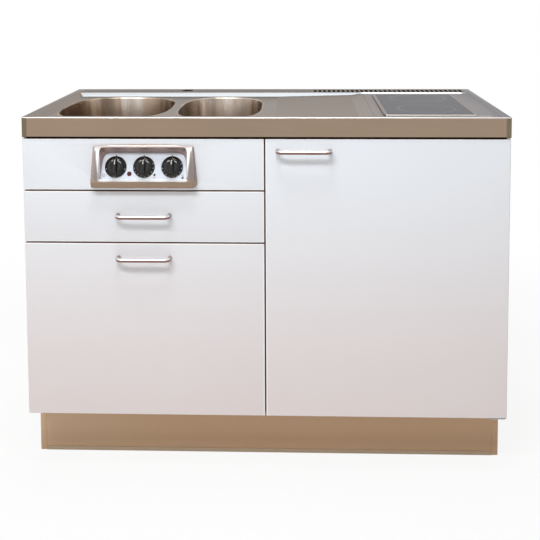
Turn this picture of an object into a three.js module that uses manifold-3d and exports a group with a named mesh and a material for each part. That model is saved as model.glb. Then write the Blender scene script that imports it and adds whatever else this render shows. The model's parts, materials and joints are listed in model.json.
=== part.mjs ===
// Kitchenette unit, 1.2 m wide: steel worktop with two bowls, drainer and a two-zone ceramic hob,
// over a control panel, a drawer, a deep pull-out and a built-in refrigerator.
// Millimetres, +X to the right, +Y to the back, +Z up. The sizes below count from the worktop's
// front edge (Y = 0) and the floor (Z = 0); the finished group is centred on its own footprint.
import * as THREE from 'three';
import { mergeVertices } from 'three/addons/utils/BufferGeometryUtils.js';
import Module from 'manifold-3d';

const wasm = await Module();
wasm.setup();

// ---------------------------------------------------------------- overall sizes
const unitWidth = 1200;
const unitDepth = 600;
const unitHeight = 900;
const seatGap = 0.3; // clearance between pieces that meet on round or tilted faces

// ---------------------------------------------------------------- steel worktop
const worktopThickness = 50;
const steelSheet = 1.2;
const worktopCorner = 6;
const returnFlange = 14;
const rimWidth = 22;
const panWallRun = 13;
const panRearRun = 18;
const panDepth = 12;
const panCorner = 22;
const ledgeDepth = 82;
const drainerBowlGap = 39; // from the small bowl to the drainer
const drainerRise = 4;
const drainerStepRun = 32; // smooth slope from the drainer up to the hob deck
const hobDeckMargin = 36; // from the slope to the glass
const hobDeckDrop = 3.5;
const hobDeckWallRun = 4;
const tapHoleShift = 4.5; // tap hole to the left of the web between the bowls
const tapHoleRear = 37; // from the worktop's rear edge
const tapHoleDiameter = 35;
const ventCount = 32;
const ventPitch = 14;
const ventWidth = 8.5;
const ventLength = 50;
const ventEndMargin = 34.1; // last slot's centre, from the worktop's end
const ventRear = 50; // centre of the slots, from the worktop's rear edge
const coreRim = 23; // least chipboard left between the vents and the worktop's end

// ---------------------------------------------------------------- bowls and waste
const bowlFrontMargin = 37; // deck left in front of the bowls
const bowlRearMargin = 18;
const bowlDepth = 150;
const bowlPower = 3;
const bowlDraft = 6;
const bowlFloorRadius = 42;
const bowlFlange = 12;
const bowlSideMargin = 44; // from the worktop's end to the large bowl
const bowlWeb = 27; // between the bowls
const bowlBoardGap = 11; // from the middle board to the small bowl
const smallBowlWidth = 220;
const outletRear = 110; // outlet's centre, from the bowl's rear edge
const outletHole = 46;
const wasteFlange = 68;
const wasteTail = 42;
const wasteBore = 36;
const wasteTailLength = 46;
const pipeDiameter = 40;
const pipeRunDrop = 80.5; // pipe's centre below the bowl's floor
const pipeCupWall = 4;
const trapDiameter = 72;
const trapDrop = 170; // bottle's foot below the pipe's centre
const trapHeight = 128;
const trapNutRise = 56;
const trapNutHeight = 16;
const trapOutletRise = 90;
const trapOutletRear = 8; // outlet's end, from the worktop's rear edge

// ---------------------------------------------------------------- ceramic hob
const glassRightMargin = 82; // from the glass to the worktop's end
const glassFront = 54;
const glassWidth = 212;
const glassRearMargin = 60; // from the glass to the ledge's front
const glassThickness = 4;
const glassCorner = 5;
const hobTrim = 4; // frame's front and rear members
const hobTrimSide = 10;
const hobTrimHeight = 3.6;
const hobLap = 5; // glass resting on the deck round the cut-out
const hobTrayWall = 0.8;
const heaterHeight = 32;
const trayClearance = 6;
const frontHeaterDiameter = 152;
const frontHeaterInset = 107; // centre, from the glass's left edge
const frontHeaterMargin = 21; // glass left in front of the front heater
const rearHeaterDiameter = 158;
const rearHeaterInset = 111;
const rearHeaterMargin = 9;

// ---------------------------------------------------------------- carcass and plinth
const board = 16;
const sideInset = 1.5; // carcass and fronts stand this far inside the worktop's ends
const carcassFront = 23.5;
const wallGap = 40; // behind the carcass, for the pipe and the condenser
const hardboard = 3.2;
const hatchWidth = 380;
const hatchDrop = 6; // hatch's lower edge below the trap
const plinthHeight = 146;
const plinthFront = 101;
const sealHeight = 10;
const sealThickness = 1.2;
const railDepth = 80;

// ---------------------------------------------------------------- fronts
const frontFace = 3;
const frontGap = 3;
const frontTopGap = 3.5; // under the worktop
const frontBottom = 145.5;
const frontEdge = 1.2;
const controlHeight = 128;
const drawerFrontHeight = 128;

// ---------------------------------------------------------------- bow handles
const handleSpan = 128;
const handleRod = 10;
const handleReach = 32;
const handleBend = 14;
const drawerHandleDrop = 59.5;
const pulloutHandleDrop = 35.5;
const doorHandleInset = 94.5; // centre, from the door's free edge
const doorHandleDrop = 29;

// ---------------------------------------------------------------- control panel
const panelShift = 1.5; // right of the middle of the control front
const bezelTopDrop = 13.5; // below the control front's top
const bezelHeight = 109;
const bezelTopWidth = 249;
const bezelBottomWidth = 269;
const bezelArch = 80; // rounding of the top edge's crown
const bezelNose = 25;
const bezelBrow = 4;
const bezelDraft = 0.955; // width left at the nose
const openingRise = 20; // opening's lower edge above the bezel's
const openingHeight = 82;
const openingTopWidth = 216;
const openingBottomWidth = 220;
const openingCorner = 12;
const plateRise = 24; // dial plate's lower edge above the bezel's
const plateHeight = 60;
const plateBottomWidth = 214;
const plateTopWidth = 203;
const plateCorner = 22;
const plateBottomY = -1;
const plateTopY = 20;
const plateThickness = 2;
const collarWall = 2;
const collarDepth = 24;
const plateLip = 6;
const knobAxisRise = 27; // above the dial plate's lower edge
const knobSpacing = 70;
const knobSkirt = 54;
const knobHub = 40;
const knobHeight = 19;
const gripWidth = 11;
const spindleDiameter = 6;
const spindleDepth = 13;
const switchWidth = 44;
const switchHeight = 32;
const switchDepth = 34;
const lampShift = 35.5; // left of the middle knob
const lampDrop = 17;
const lampDiameter = 11;

// ---------------------------------------------------------------- drawers
const runnerThickness = 12.5;
const runnerHeight = 36;
const runnerSheet = 1.2;
const runnerClearance = 0.5;
const boxWall = 12;
const boxFloor = 6;
const drawerRearGap = 16.7; // between the drawer box and the waste pipe's cups
const drawerWallHeight = 76;
const drawerLift = 12; // drawer box above the lower edge of its front
const pulloutDepth = 460;
const pulloutWallHeight = 225;
const pulloutLift = 26;

// ---------------------------------------------------------------- refrigerator
const fridgeSideGap = 17.25; // between the cabinet and the boards
const fridgeBottom = 175;
const fridgeHeadroom = 25; // above the cabinet
const fridgeFront = 64;
const fridgeRearGap = 15; // from the cabinet to the carcass's back
const fridgeWall = 40;
const fridgeRearWall = 55;
const innerDoorThickness = 36;
const innerDoorMargin = 4;
const gasketWidth = 12;
const nicheDepth = 150;
const nicheHeight = 165;
const nicheWall = 30;
const rackInset = 65;
const rackDepth = 65;
const rackHeight = 70;
const rackWall = 3;
const rackCount = 3;
const shelfThickness = 4;
const shelfFront = 140;
const lowerShelfRise = 50; // above the compressor's niche
const upperShelfDrop = 195; // below the ceiling
const compressorDiameter = 150;
const compressorHeight = 118;
const startBoxRise = 30; // starting relay's box above the compressor's foot
const startBoxHeight = 52;
const condenserTube = 5;
const condenserHead = 75; // cabinet left above the tube
const condenserPitch = 44;
const condenserInset = 60;
const hingeInset = 8; // pin's centre, from the door's edge
const hingeY = 11;
const hingePin = 6;
const hingePlate = 2;
const hingePinReach = 12;

// ---------------------------------------------------------------- derived places
const halfWidth = unitWidth / 2;
const worktopBottom = unitHeight - worktopThickness;
const ventCentreY = unitDepth - ventRear;
const tapHoleY = unitDepth - tapHoleRear;
const carcassBack = unitDepth - wallGap;
const frontTop = worktopBottom - frontTopGap;
const deckZ = unitHeight - panDepth;
const hobDeckZ = unitHeight - hobDeckDrop;
const sideOuter = halfWidth - sideInset;
const sideInner = sideOuter - board;
const middleHalf = board / 2;
const bowlFront = rimWidth + panWallRun + bowlFrontMargin;
const bowlLength = unitDepth - ledgeDepth - panRearRun - bowlRearMargin - bowlFront;
const bowlCentreY = bowlFront + bowlLength / 2;
const outletOffset = bowlLength / 2 - outletRear;
const glassLength = unitDepth - ledgeDepth - glassRearMargin - glassFront;
const frontHeaterY = glassFront + frontHeaterMargin + frontHeaterDiameter / 2;
const rearHeaterY = glassFront + glassLength - rearHeaterMargin - rearHeaterDiameter / 2;
const frontBack = frontFace + board;
const controlBottom = frontTop - controlHeight;
const drawerFrontTop = controlBottom - frontGap;
const drawerFrontBottom = drawerFrontTop - drawerFrontHeight;
const pulloutFrontTop = drawerFrontBottom - frontGap;
const smallBowlX = -middleHalf - bowlBoardGap - smallBowlWidth / 2;
const bowlWebLeft = smallBowlX - smallBowlWidth / 2 - bowlWeb;
const largeBowlWidth = bowlWebLeft + halfWidth - bowlSideMargin;
const largeBowlX = bowlWebLeft - largeBowlWidth / 2;
const tapHoleX = bowlWebLeft + bowlWeb / 2 - tapHoleShift;
const ventFirstX = halfWidth - ventEndMargin - (ventCount - 1) * ventPitch;
const glassLeft = halfWidth - glassRightMargin - glassWidth;
const hobDeckLeft = glassLeft - hobDeckMargin;
const drainerLeft = smallBowlX + smallBowlWidth / 2 + drainerBowlGap;
const drainerRight = hobDeckLeft - drainerStepRun;
const frontHeaterX = glassLeft + frontHeaterInset;
const rearHeaterX = glassLeft + rearHeaterInset;
const leftFrontX = -(sideOuter + frontGap / 2) / 2;
const doorHandleX = frontGap / 2 + doorHandleInset;
const panelX = leftFrontX + panelShift;
const lampX = panelX - lampShift;
const hingeX = sideOuter - hingeInset;
const fridgeCentreX = (sideInner + middleHalf) / 2;
const fridgeWidth = sideInner - middleHalf - 2 * fridgeSideGap;
const fridgeLeft = fridgeCentreX - fridgeWidth / 2;
const fridgeRight = fridgeCentreX + fridgeWidth / 2;
const fridgeTop = worktopBottom - fridgeHeadroom;
const fridgeBack = carcassBack - fridgeRearGap;
const nicheFront = fridgeBack - nicheDepth;
const shelfHeights = [fridgeBottom + nicheHeight + lowerShelfRise, fridgeTop - fridgeWall - upperShelfDrop];
const baseTop = plinthHeight + board;
const bezelTop = frontTop - bezelTopDrop;
const bezelBottom = bezelTop - bezelHeight;
const openingBottom = bezelBottom + openingRise;
const openingTop = openingBottom + openingHeight;
const plateBottomZ = bezelBottom + plateRise;
const plateTilt = Math.atan2(plateTopY - plateBottomY, plateHeight);
const plateLength = Math.hypot(plateTopY - plateBottomY, plateHeight);
const knobAxisZ = plateBottomZ + knobAxisRise;
const knobAxisY = plateBottomY + (knobAxisZ - plateBottomZ) * Math.tan(plateTilt);
const bowlFloorZ = deckZ - steelSheet - seatGap - bowlDepth;
const wasteY = bowlCentreY + outletOffset;
const pipeRunZ = bowlFloorZ - pipeRunDrop;
const pipeCupRadius = pipeDiameter / 2 + pipeCupWall;
const trapBottomZ = pipeRunZ - trapDrop;
const trapOutletZ = trapBottomZ + trapOutletRise;
const trapOutletEndY = unitDepth - trapOutletRear;
const hatchBottom = trapBottomZ - hatchDrop;
const drawerDepth = wasteY - pipeCupRadius - drawerRearGap - frontBack - seatGap;
const trapX = (largeBowlX + smallBowlX) / 2;
const trayTop = hobDeckZ - steelSheet - seatGap;
const trayBottom = trayTop - heaterHeight - trayClearance;
const innerDoorBack = frontBack + seatGap + innerDoorThickness;
const cavityLeft = fridgeLeft + fridgeWall;
const cavityRight = fridgeRight - fridgeWall;

// ---------------------------------------------------------------- solids
function solid(geometry) {
  const bare = geometry.clone();
  bare.deleteAttribute('normal');
  bare.deleteAttribute('uv');
  const merged = mergeVertices(bare, 1e-4);
  const vertProperties = new Float32Array(merged.attributes.position.array);
  const corners = Array.from(merged.index.array);
  const faces = [];
  for (let i = 0; i < corners.length; i += 3) {
    const [a, b, c] = corners.slice(i, i + 3);
    if (a !== b && b !== c && c !== a) faces.push([a, b, c]);
  }
  const build = (order) =>
    new wasm.Manifold(
      new wasm.Mesh({ numProp: 3, vertProperties, triVerts: new Uint32Array(faces.flatMap(order)) }),
    );
  const body = build((face) => face);
  return body.volume() > 0 ? body : build(([a, b, c]) => [a, c, b]);
}

function geometryOf(body) {
  const mesh = body.getMesh();
  const geometry = new THREE.BufferGeometry();
  geometry.setAttribute('position', new THREE.BufferAttribute(new Float32Array(mesh.vertProperties), 3));
  geometry.setIndex(new THREE.BufferAttribute(new Uint32Array(mesh.triVerts), 1));
  geometry.computeVertexNormals();
  return geometry;
}

function join(...bodies) {
  return bodies.reduce((whole, body) => whole.add(body));
}

// A block between two corners.
function block(x0, x1, y0, y1, z0, z1) {
  const geometry = new THREE.BoxGeometry(x1 - x0, y1 - y0, z1 - z0);
  geometry.translate((x0 + x1) / 2, (y0 + y1) / 2, (z0 + z1) / 2);
  return solid(geometry);
}

// A closed outline with each corner rounded by its own radius.
function outline(points, radius = 0) {
  const corners = points.map(([x, y, own], index) => {
    const before = points[(index + points.length - 1) % points.length];
    const after = points[(index + 1) % points.length];
    const corner = new THREE.Vector2(x, y);
    const reach = own ?? radius;
    const step = (other) => new THREE.Vector2(other[0], other[1]).sub(corner).setLength(reach).add(corner);
    return { corner, reach, enter: step(before), leave: step(after) };
  });
  const shape = new THREE.Shape();
  corners.forEach(({ corner, reach, enter, leave }, index) => {
    if (index === 0) shape.moveTo(enter.x, enter.y);
    else shape.lineTo(enter.x, enter.y);
    if (reach > 0) shape.quadraticCurveTo(corner.x, corner.y, leave.x, leave.y);
  });
  shape.closePath();
  return shape;
}

function rectangle(x0, x1, y0, y1, radius = 0) {
  return outline([[x0, y0], [x1, y0], [x1, y1], [x0, y1]], radius);
}

// An outline in plan raised from one level to another.
function raised(shape, z0, z1, curveSegments = 4) {
  const geometry = new THREE.ExtrudeGeometry(shape, { depth: z1 - z0, bevelEnabled: false, curveSegments });
  geometry.translate(0, 0, z0);
  return solid(geometry);
}

// An outline drawn in (X, Z), carried from y0 back to y1.
function carriedBack(shape, y0, y1, curveSegments = 4) {
  const geometry = new THREE.ExtrudeGeometry(shape, { depth: y1 - y0, bevelEnabled: false, curveSegments });
  geometry.rotateX(Math.PI / 2);
  geometry.translate(0, y1, 0);
  return solid(geometry);
}

// An outline drawn in (Y, Z), carried from x0 across to x1.
function carriedAcross(shape, x0, x1, curveSegments = 4) {
  const geometry = new THREE.ExtrudeGeometry(shape, { depth: x1 - x0, bevelEnabled: false, curveSegments });
  geometry.rotateZ(Math.PI / 2);
  geometry.rotateY(Math.PI / 2);
  geometry.translate(x0, 0, 0);
  return solid(geometry);
}

// A profile of [radius, height] pairs turned about a vertical axis.
function turned(profile, segments = 24) {
  const points = profile.map(([radius, height]) => new THREE.Vector2(radius, height));
  const geometry = new THREE.LatheGeometry(points, segments);
  geometry.rotateX(Math.PI / 2);
  return solid(geometry);
}

function cylinder(diameter, z0, z1, segments = 24) {
  return turned([[0, z0], [diameter / 2, z0], [diameter / 2, z1], [0, z1]], segments);
}

// A rod between two points.
function rod(from, to, diameter, segments = 8) {
  const start = new THREE.Vector3(...from);
  const along = new THREE.Vector3(...to).sub(start);
  const geometry = new THREE.CylinderGeometry(diameter / 2, diameter / 2, along.length(), segments);
  geometry.translate(0, along.length() / 2, 0);
  const turn = new THREE.Quaternion().setFromUnitVectors(new THREE.Vector3(0, 1, 0), along.normalize());
  geometry.applyQuaternion(turn);
  geometry.translate(...from);
  return solid(geometry);
}

// A closed body lofted through rings of as many points, lowest ring first.
function loft(rings) {
  const count = rings[0].length;
  const positions = rings.flat(2);
  const faces = [];
  rings.slice(1).forEach((ring, level) => {
    for (let i = 0; i < count; i += 1) {
      const a = level * count + i;
      const b = level * count + ((i + 1) % count);
      faces.push(a, b, b + count, a, b + count, a + count);
    }
  });
  const top = (rings.length - 1) * count;
  for (let i = 1; i < count - 1; i += 1) {
    faces.push(0, i + 1, i);
    faces.push(top, top + i, top + i + 1);
  }
  const geometry = new THREE.BufferGeometry();
  geometry.setAttribute('position', new THREE.Float32BufferAttribute(positions, 3));
  geometry.setIndex(faces);
  return solid(geometry);
}

// A rounded-square ring, the section of a pressed bowl.
function bowlRing(halfWidthX, halfLengthY, z, count = 32) {
  return Array.from({ length: count }, (_, index) => {
    const angle = (2 * Math.PI * index) / count;
    const bulge = (value) => Math.sign(value) * Math.abs(value) ** (2 / bowlPower);
    return [halfWidthX * bulge(Math.cos(angle)), halfLengthY * bulge(Math.sin(angle)), z];
  });
}

// ---------------------------------------------------------------- finishes
function finish(color, roughness, metalness = 0) {
  return new THREE.MeshStandardMaterial({ color, roughness, metalness });
}

const steelTop = finish(0x9b948f, 0.35, 1);
const steelBowl = finish(0x948c86, 0.3, 1);
const steelSatin = finish(0xb4b0ab, 0.38, 1);
const zincSheet = finish(0xa5a8aa, 0.5, 1);
const chipboard = finish(0xb08d62, 0.9);
const whiteFront = finish(0xe6e6ea, 0.35);
const whiteBoard = finish(0xe2e0dc, 0.55);
const hardboardBrown = finish(0x9c7d5a, 0.85);
const plinthTan = finish(0xa88a6a, 0.5);
const sealPale = finish(0xbeb2a0, 0.6);
const glassGrey = finish(0x6c6b72, 0.12);
const dialWhite = finish(0xdae0eb, 0.4);
const knobBlack = finish(0x17171a, 0.3);
const lampRed = finish(0x96141a, 0.25);
const bakelite = finish(0x2e2a28, 0.7);
const insulation = finish(0xcfc8b8, 0.9);
const plasticWhite = finish(0xeceef0, 0.35);
const gasketGrey = finish(0xd5d6d6, 0.8);
const blackEnamel = finish(0x1d1e20, 0.55);
const shelfGlass = finish(0xd3e4e0, 0.1);

const kitchenette = new THREE.Group();

function place(parent, name, body, material, position = [0, 0, 0]) {
  const mesh = new THREE.Mesh(geometryOf(body), material);
  mesh.name = name;
  mesh.position.set(...position);
  parent.add(mesh);
}

// ---------------------------------------------------------------- steel worktop
// The pressed pans: a stepped floor under the sink, the drainer and the hob, with sloping walls.
function panCut() {
  const left = -halfWidth + rimWidth;
  const right = halfWidth - rimWidth + hobDeckWallRun;
  const above = unitHeight + panDepth;
  const floor = outline([
    [left - panWallRun, above],
    [left, unitHeight],
    [left + panWallRun, deckZ],
    [drainerLeft, deckZ],
    [drainerRight, deckZ + drainerRise],
    [hobDeckLeft, hobDeckZ],
    [right - hobDeckWallRun, hobDeckZ],
    [right, unitHeight],
    [right, above],
  ]);
  const rear = unitDepth - ledgeDepth;
  const walls = outline([
    [rimWidth - panWallRun, above],
    [rimWidth + panWallRun, deckZ],
    [rear - panRearRun, deckZ],
    [rear + panRearRun, above],
  ]);
  const plan = rectangle(left - panWallRun, right + panWallRun, 0, unitDepth, panCorner);
  return carriedBack(floor, 0, unitDepth)
    .intersect(carriedAcross(walls, -halfWidth, halfWidth))
    .intersect(raised(plan, deckZ - 1, above));
}

// One vent slot with round ends, centred on the ledge's row.
function ventSlot(x) {
  const half = ventWidth / 2;
  const reach = ventLength / 2;
  const slot = rectangle(x - half, x + half, ventCentreY - reach, ventCentreY + reach, half);
  return raised(slot, worktopBottom, unitHeight + 1, 1);
}

function bowlOpening(width, centreX, margin = 0) {
  const ring = (z) => bowlRing(width / 2 + margin, bowlLength / 2 + margin, z);
  return loft([ring(worktopBottom - 1), ring(unitHeight + 1)]).translate(centreX, bowlCentreY, 0);
}

// The cut-out under the hob glass, grown by a margin all round.
function hobCutOut(z0, z1, margin = 0) {
  return block(
    glassLeft + hobLap - margin,
    glassLeft + glassWidth - hobLap + margin,
    glassFront + hobLap - margin,
    glassFront + glassLength - hobLap + margin,
    z0,
    z1,
  );
}

function worktop() {
  const inset = halfWidth - steelSheet;
  const plate = raised(
    rectangle(-halfWidth, halfWidth, 0, unitDepth, worktopCorner),
    worktopBottom,
    unitHeight,
  );
  const pans = panCut();
  const hollow = raised(
    rectangle(-inset, inset, steelSheet, unitDepth - steelSheet, worktopCorner - steelSheet),
    worktopBottom - 1,
    unitHeight - steelSheet,
  ).subtract(pans.translate(0, 0, -steelSheet));
  const flange = raised(
    rectangle(-halfWidth + 0.5, halfWidth - 0.5, 0.5, unitDepth - 0.5, worktopCorner),
    worktopBottom,
    worktopBottom + steelSheet,
  ).subtract(
    block(
      -halfWidth + returnFlange,
      halfWidth - returnFlange,
      returnFlange,
      unitDepth - returnFlange,
      worktopBottom - 1,
      worktopBottom + 2 * steelSheet,
    ),
  );
  const tapBore = cylinder(tapHoleDiameter, worktopBottom - 1, unitHeight + 1);
  const tapHole = tapBore.translate(tapHoleX, tapHoleY, 0);
  let skin = plate.subtract(pans).subtract(hollow).add(flange);
  skin = skin.subtract(bowlOpening(largeBowlWidth, largeBowlX));
  skin = skin.subtract(bowlOpening(smallBowlWidth, smallBowlX));
  skin = skin.subtract(hobCutOut(worktopBottom + 10, unitHeight + 1)).subtract(tapHole);
  for (let index = 0; index < ventCount; index += 1) {
    skin = skin.subtract(ventSlot(ventFirstX + index * ventPitch));
  }
  place(kitchenette, 'worktop', skin, steelTop);
}

// Chipboard glued under the steel: a frame round the sink, the hob tray, the tap and the vents.
function worktopCore() {
  const margin = steelSheet + seatGap;
  const top = deckZ - steelSheet - seatGap;
  const bottom = worktopBottom + steelSheet + seatGap;
  const sinkLeft = largeBowlX - largeBowlWidth / 2 - bowlFlange;
  const sinkRight = smallBowlX + smallBowlWidth / 2 + bowlFlange;
  const sinkFront = bowlCentreY - bowlLength / 2 - bowlFlange;
  const sinkRear = bowlCentreY + bowlLength / 2 + bowlFlange;
  const below = worktopBottom - 1;
  const ventEnd = ventFirstX + (ventCount - 1) * ventPitch + ventWidth;
  const plan = rectangle(-halfWidth + margin, halfWidth - margin, margin, unitDepth - margin, worktopCorner);
  const core = raised(plan, bottom, top, 1)
    .subtract(block(sinkLeft - 2, sinkRight + 2, sinkFront, sinkRear, below, unitHeight))
    .subtract(hobCutOut(below, unitHeight, hobTrayWall + 2))
    .subtract(block(tapHoleX - 40, tapHoleX + 40, tapHoleY - 30, tapHoleY + 25, below, unitHeight))
    .subtract(
      block(
        ventFirstX - ventWidth,
        Math.min(ventEnd, halfWidth - coreRim),
        ventCentreY - ventLength / 2 - 2,
        ventCentreY + ventLength / 2 + 2,
        below,
        unitHeight,
      ),
    );
  place(kitchenette, 'worktop_core', core, chipboard);
}

// ---------------------------------------------------------------- bowls and waste
// The rings of one bowl surface from the floor up, grown outwards by the sheet where asked.
function bowlRings(width, grow, topZ) {
  const halfX = width / 2;
  const halfY = bowlLength / 2;
  const rings = [];
  for (let step = 0; step <= 5; step += 1) {
    const angle = (Math.PI / 2) * (step / 5);
    const inset = bowlDraft + bowlFloorRadius * (1 - Math.sin(angle));
    const z = topZ - bowlDepth + bowlFloorRadius * (1 - Math.cos(angle)) - grow;
    rings.push(bowlRing(halfX - inset + grow, halfY - inset + grow, z));
  }
  rings.push(bowlRing(halfX + grow, halfY + grow, topZ));
  return rings;
}

function bowl(name, width, centreX) {
  const topZ = deckZ - steelSheet - seatGap;
  const wall = loft(bowlRings(width, steelSheet, topZ));
  const inside = bowlRings(width, 0, topZ);
  inside.push(bowlRing(width / 2, bowlLength / 2, topZ + 1));
  const grown = (z) => bowlRing(width / 2 + bowlFlange, bowlLength / 2 + bowlFlange, z);
  const flange = loft([grown(topZ - steelSheet), grown(topZ)]);
  const outlet = cylinder(outletHole, topZ - bowlDepth - 10, topZ - bowlDepth + 10);
  const hole = outlet.translate(0, outletOffset, 0);
  const shell = wall.add(flange).subtract(loft(inside)).subtract(hole);
  place(kitchenette, name, shell, steelBowl, [centreX, bowlCentreY, 0]);
}

// A waste fitting: flange in the bowl, grid across the mouth, clamping nut and tail below.
function wasteFitting(name, centreX) {
  const top = bowlFloorZ + seatGap;
  const under = bowlFloorZ - steelSheet - seatGap;
  const bore = wasteBore / 2;
  const tail = wasteTail / 2;
  const fitting = turned([
    [bore, top + 1],
    [bore + 2, top + 2.4],
    [wasteFlange / 2, top + 1],
    [wasteFlange / 2, top],
    [tail, top],
    [tail, under],
    [wasteFlange / 2 - 4, under],
    [wasteFlange / 2 - 4, under - 8],
    [tail, under - 8],
    [tail, under - wasteTailLength],
    [bore, under - wasteTailLength],
    [bore, top + 1],
  ], 20);
  const bar = block(-bore - 1, bore + 1, -1.5, 1.5, top - 3, top);
  const crossBar = block(-1.5, 1.5, -bore - 1, bore + 1, top - 3, top);
  place(kitchenette, name, join(fitting, bar, crossBar), steelSatin, [centreX, wasteY, 0]);
}

// Twin waste pipe: a cup under each tail, a run between them and a drop to the trap.
function wastePipe() {
  const tailEnd = bowlFloorZ - steelSheet - seatGap - wasteTailLength;
  const cup = (x) => turned([
    [0, pipeRunZ - pipeDiameter / 2],
    [pipeCupRadius, pipeRunZ - pipeDiameter / 2],
    [pipeCupRadius, tailEnd + 14],
    [wasteTail / 2 + 0.4, tailEnd + 14],
    [wasteTail / 2 + 0.4, tailEnd - seatGap],
    [wasteBore / 2, tailEnd - seatGap],
    [wasteBore / 2, pipeRunZ + pipeDiameter / 4],
    [0, pipeRunZ + pipeDiameter / 4],
  ], 16).translate(x, wasteY, 0);
  const run = rod([largeBowlX, wasteY, pipeRunZ], [smallBowlX, wasteY, pipeRunZ], pipeDiameter, 16);
  const dropEnd = trapBottomZ + trapHeight + seatGap;
  const drop = cylinder(pipeDiameter, dropEnd, pipeRunZ, 16).translate(trapX, wasteY, 0);
  place(kitchenette, 'waste_pipe', join(cup(largeBowlX), cup(smallBowlX), run, drop), plasticWhite);
}

function bottleTrap() {
  const radius = trapDiameter / 2;
  const neck = pipeDiameter / 2;
  const bottle = turned([
    [0, trapBottomZ],
    [radius - 8, trapBottomZ],
    [radius, trapBottomZ + 8],
    [radius, trapBottomZ + trapNutRise],
    [radius + 4, trapBottomZ + trapNutRise],
    [radius + 4, trapBottomZ + trapNutRise + trapNutHeight],
    [radius, trapBottomZ + trapNutRise + trapNutHeight],
    [radius, trapBottomZ + trapHeight - 24],
    [neck + 6, trapBottomZ + trapHeight - 16],
    [neck + 6, trapBottomZ + trapHeight],
    [0, trapBottomZ + trapHeight],
  ], 24).translate(trapX, wasteY, 0);
  const outlet = rod([trapX, wasteY, trapOutletZ], [trapX, trapOutletEndY, trapOutletZ], pipeDiameter, 16);
  place(kitchenette, 'bottle_trap', join(bottle, outlet), plasticWhite);
}

// ---------------------------------------------------------------- ceramic hob
function hobTrimFrame() {
  const seat = hobDeckZ + seatGap;
  const left = glassLeft - seatGap;
  const right = glassLeft + glassWidth + seatGap;
  const front = glassFront - seatGap;
  const back = glassFront + glassLength + seatGap;
  const rim = glassCorner + hobTrim;
  const outer = rectangle(left - hobTrimSide, right + hobTrimSide, front - hobTrim, back + hobTrim, rim);
  const inner = rectangle(left, right, front, back, glassCorner);
  const frame = raised(outer, seat, seat + hobTrimHeight).subtract(raised(inner, seat - 1, unitHeight + 9));
  place(kitchenette, 'hob_frame', frame, steelSatin);
}

function hobGlass() {
  const right = glassLeft + glassWidth;
  const shape = rectangle(glassLeft, right, glassFront, glassFront + glassLength, glassCorner);
  const seat = hobDeckZ + seatGap;
  place(kitchenette, 'hob_glass', raised(shape, seat, seat + glassThickness), glassGrey);
}

// The sheet tray that hangs under the glass and carries both heaters.
function hobTray() {
  const outside = hobCutOut(trayBottom, trayTop, hobTrayWall);
  const inside = hobCutOut(trayBottom + hobTrayWall, trayTop + 1);
  const step = hobCutOut(trayTop - hobTrayWall, trayTop, hobTrayWall + 1.5);
  const opening = hobCutOut(trayTop - 5, trayTop + 1);
  place(kitchenette, 'hob_tray', outside.subtract(inside).add(step.subtract(opening)), zincSheet);
}

// A radiant heater: insulated dish with its coil groove, pressed up against the glass.
function heater(name, diameter, centreX, centreY) {
  const radius = diameter / 2;
  const top = hobDeckZ;
  const bottom = trayBottom + hobTrayWall + seatGap;
  const dish = turned([
    [0, bottom],
    [radius - 3, bottom],
    [radius, bottom + 3],
    [radius, top],
    [radius - 9, top],
    [radius - 12, top - 14],
    [0, top - 14],
  ], 24);
  const limiter = block(-radius - 1, radius + 1, -3, 3, top - 9, top - 4);
  place(kitchenette, name, dish.add(limiter.intersect(cylinder(diameter, bottom, top, 24))), insulation, [
    centreX,
    centreY,
    0,
  ]);
}

// ---------------------------------------------------------------- control panel
// The opening of the bezel seen from the front, grown by a margin.
function openingOutline(margin) {
  const lowHalf = openingBottomWidth / 2 + margin;
  const highHalf = openingTopWidth / 2 + margin;
  return outline([
    [-lowHalf, openingBottom - margin, 6],
    [lowHalf, openingBottom - margin, 6],
    [highHalf, openingTop + margin, openingCorner],
    [-highHalf, openingTop + margin, openingCorner],
  ]);
}

function panelOpening(margin, y0, y1) {
  return carriedBack(openingOutline(margin), y0, y1).translate(panelX, 0, 0);
}

// The dial plate's outline, grown by a margin, on a plane that lies out from its face.
function plateRing(margin, out) {
  const shape = outline([
    [-plateBottomWidth / 2 - margin, -margin, 6],
    [plateBottomWidth / 2 + margin, -margin, 6],
    [plateTopWidth / 2 + margin, plateLength + margin, plateCorner],
    [-plateTopWidth / 2 - margin, plateLength + margin, plateCorner],
  ]);
  return shape.getPoints(6).map(({ x, y: up }) => [
    panelX + x,
    plateBottomY + up * Math.sin(plateTilt) - out * Math.cos(plateTilt),
    plateBottomZ + up * Math.cos(plateTilt) + out * Math.sin(plateTilt),
  ]);
}

// The opening's edge, which leans back from the nose to the brow, moved forward by a distance.
function openingRing(forward) {
  const low = frontFace - bezelNose + 2;
  const lean = (frontFace - bezelBrow - low + 1) / openingHeight;
  return openingOutline(0)
    .getPoints(6)
    .map(({ x, y: z }) => [panelX + x, low + (z - openingBottom) * lean - forward, z]);
}

// The bezel's outside: its outline on the front, drawn in towards the nose.
function bezelRing(y, share) {
  const shape = outline([
    [-bezelBottomWidth / 2, bezelBottom, 18],
    [bezelBottomWidth / 2, bezelBottom, 18],
    [bezelTopWidth / 2, bezelTop - 5, 5],
    [0, bezelTop + 2, bezelArch],
    [-bezelTopWidth / 2, bezelTop - 5, 5],
  ]);
  return shape.getPoints(6).map(({ x, y: z }) => [panelX + x * share, y, z]);
}

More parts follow.
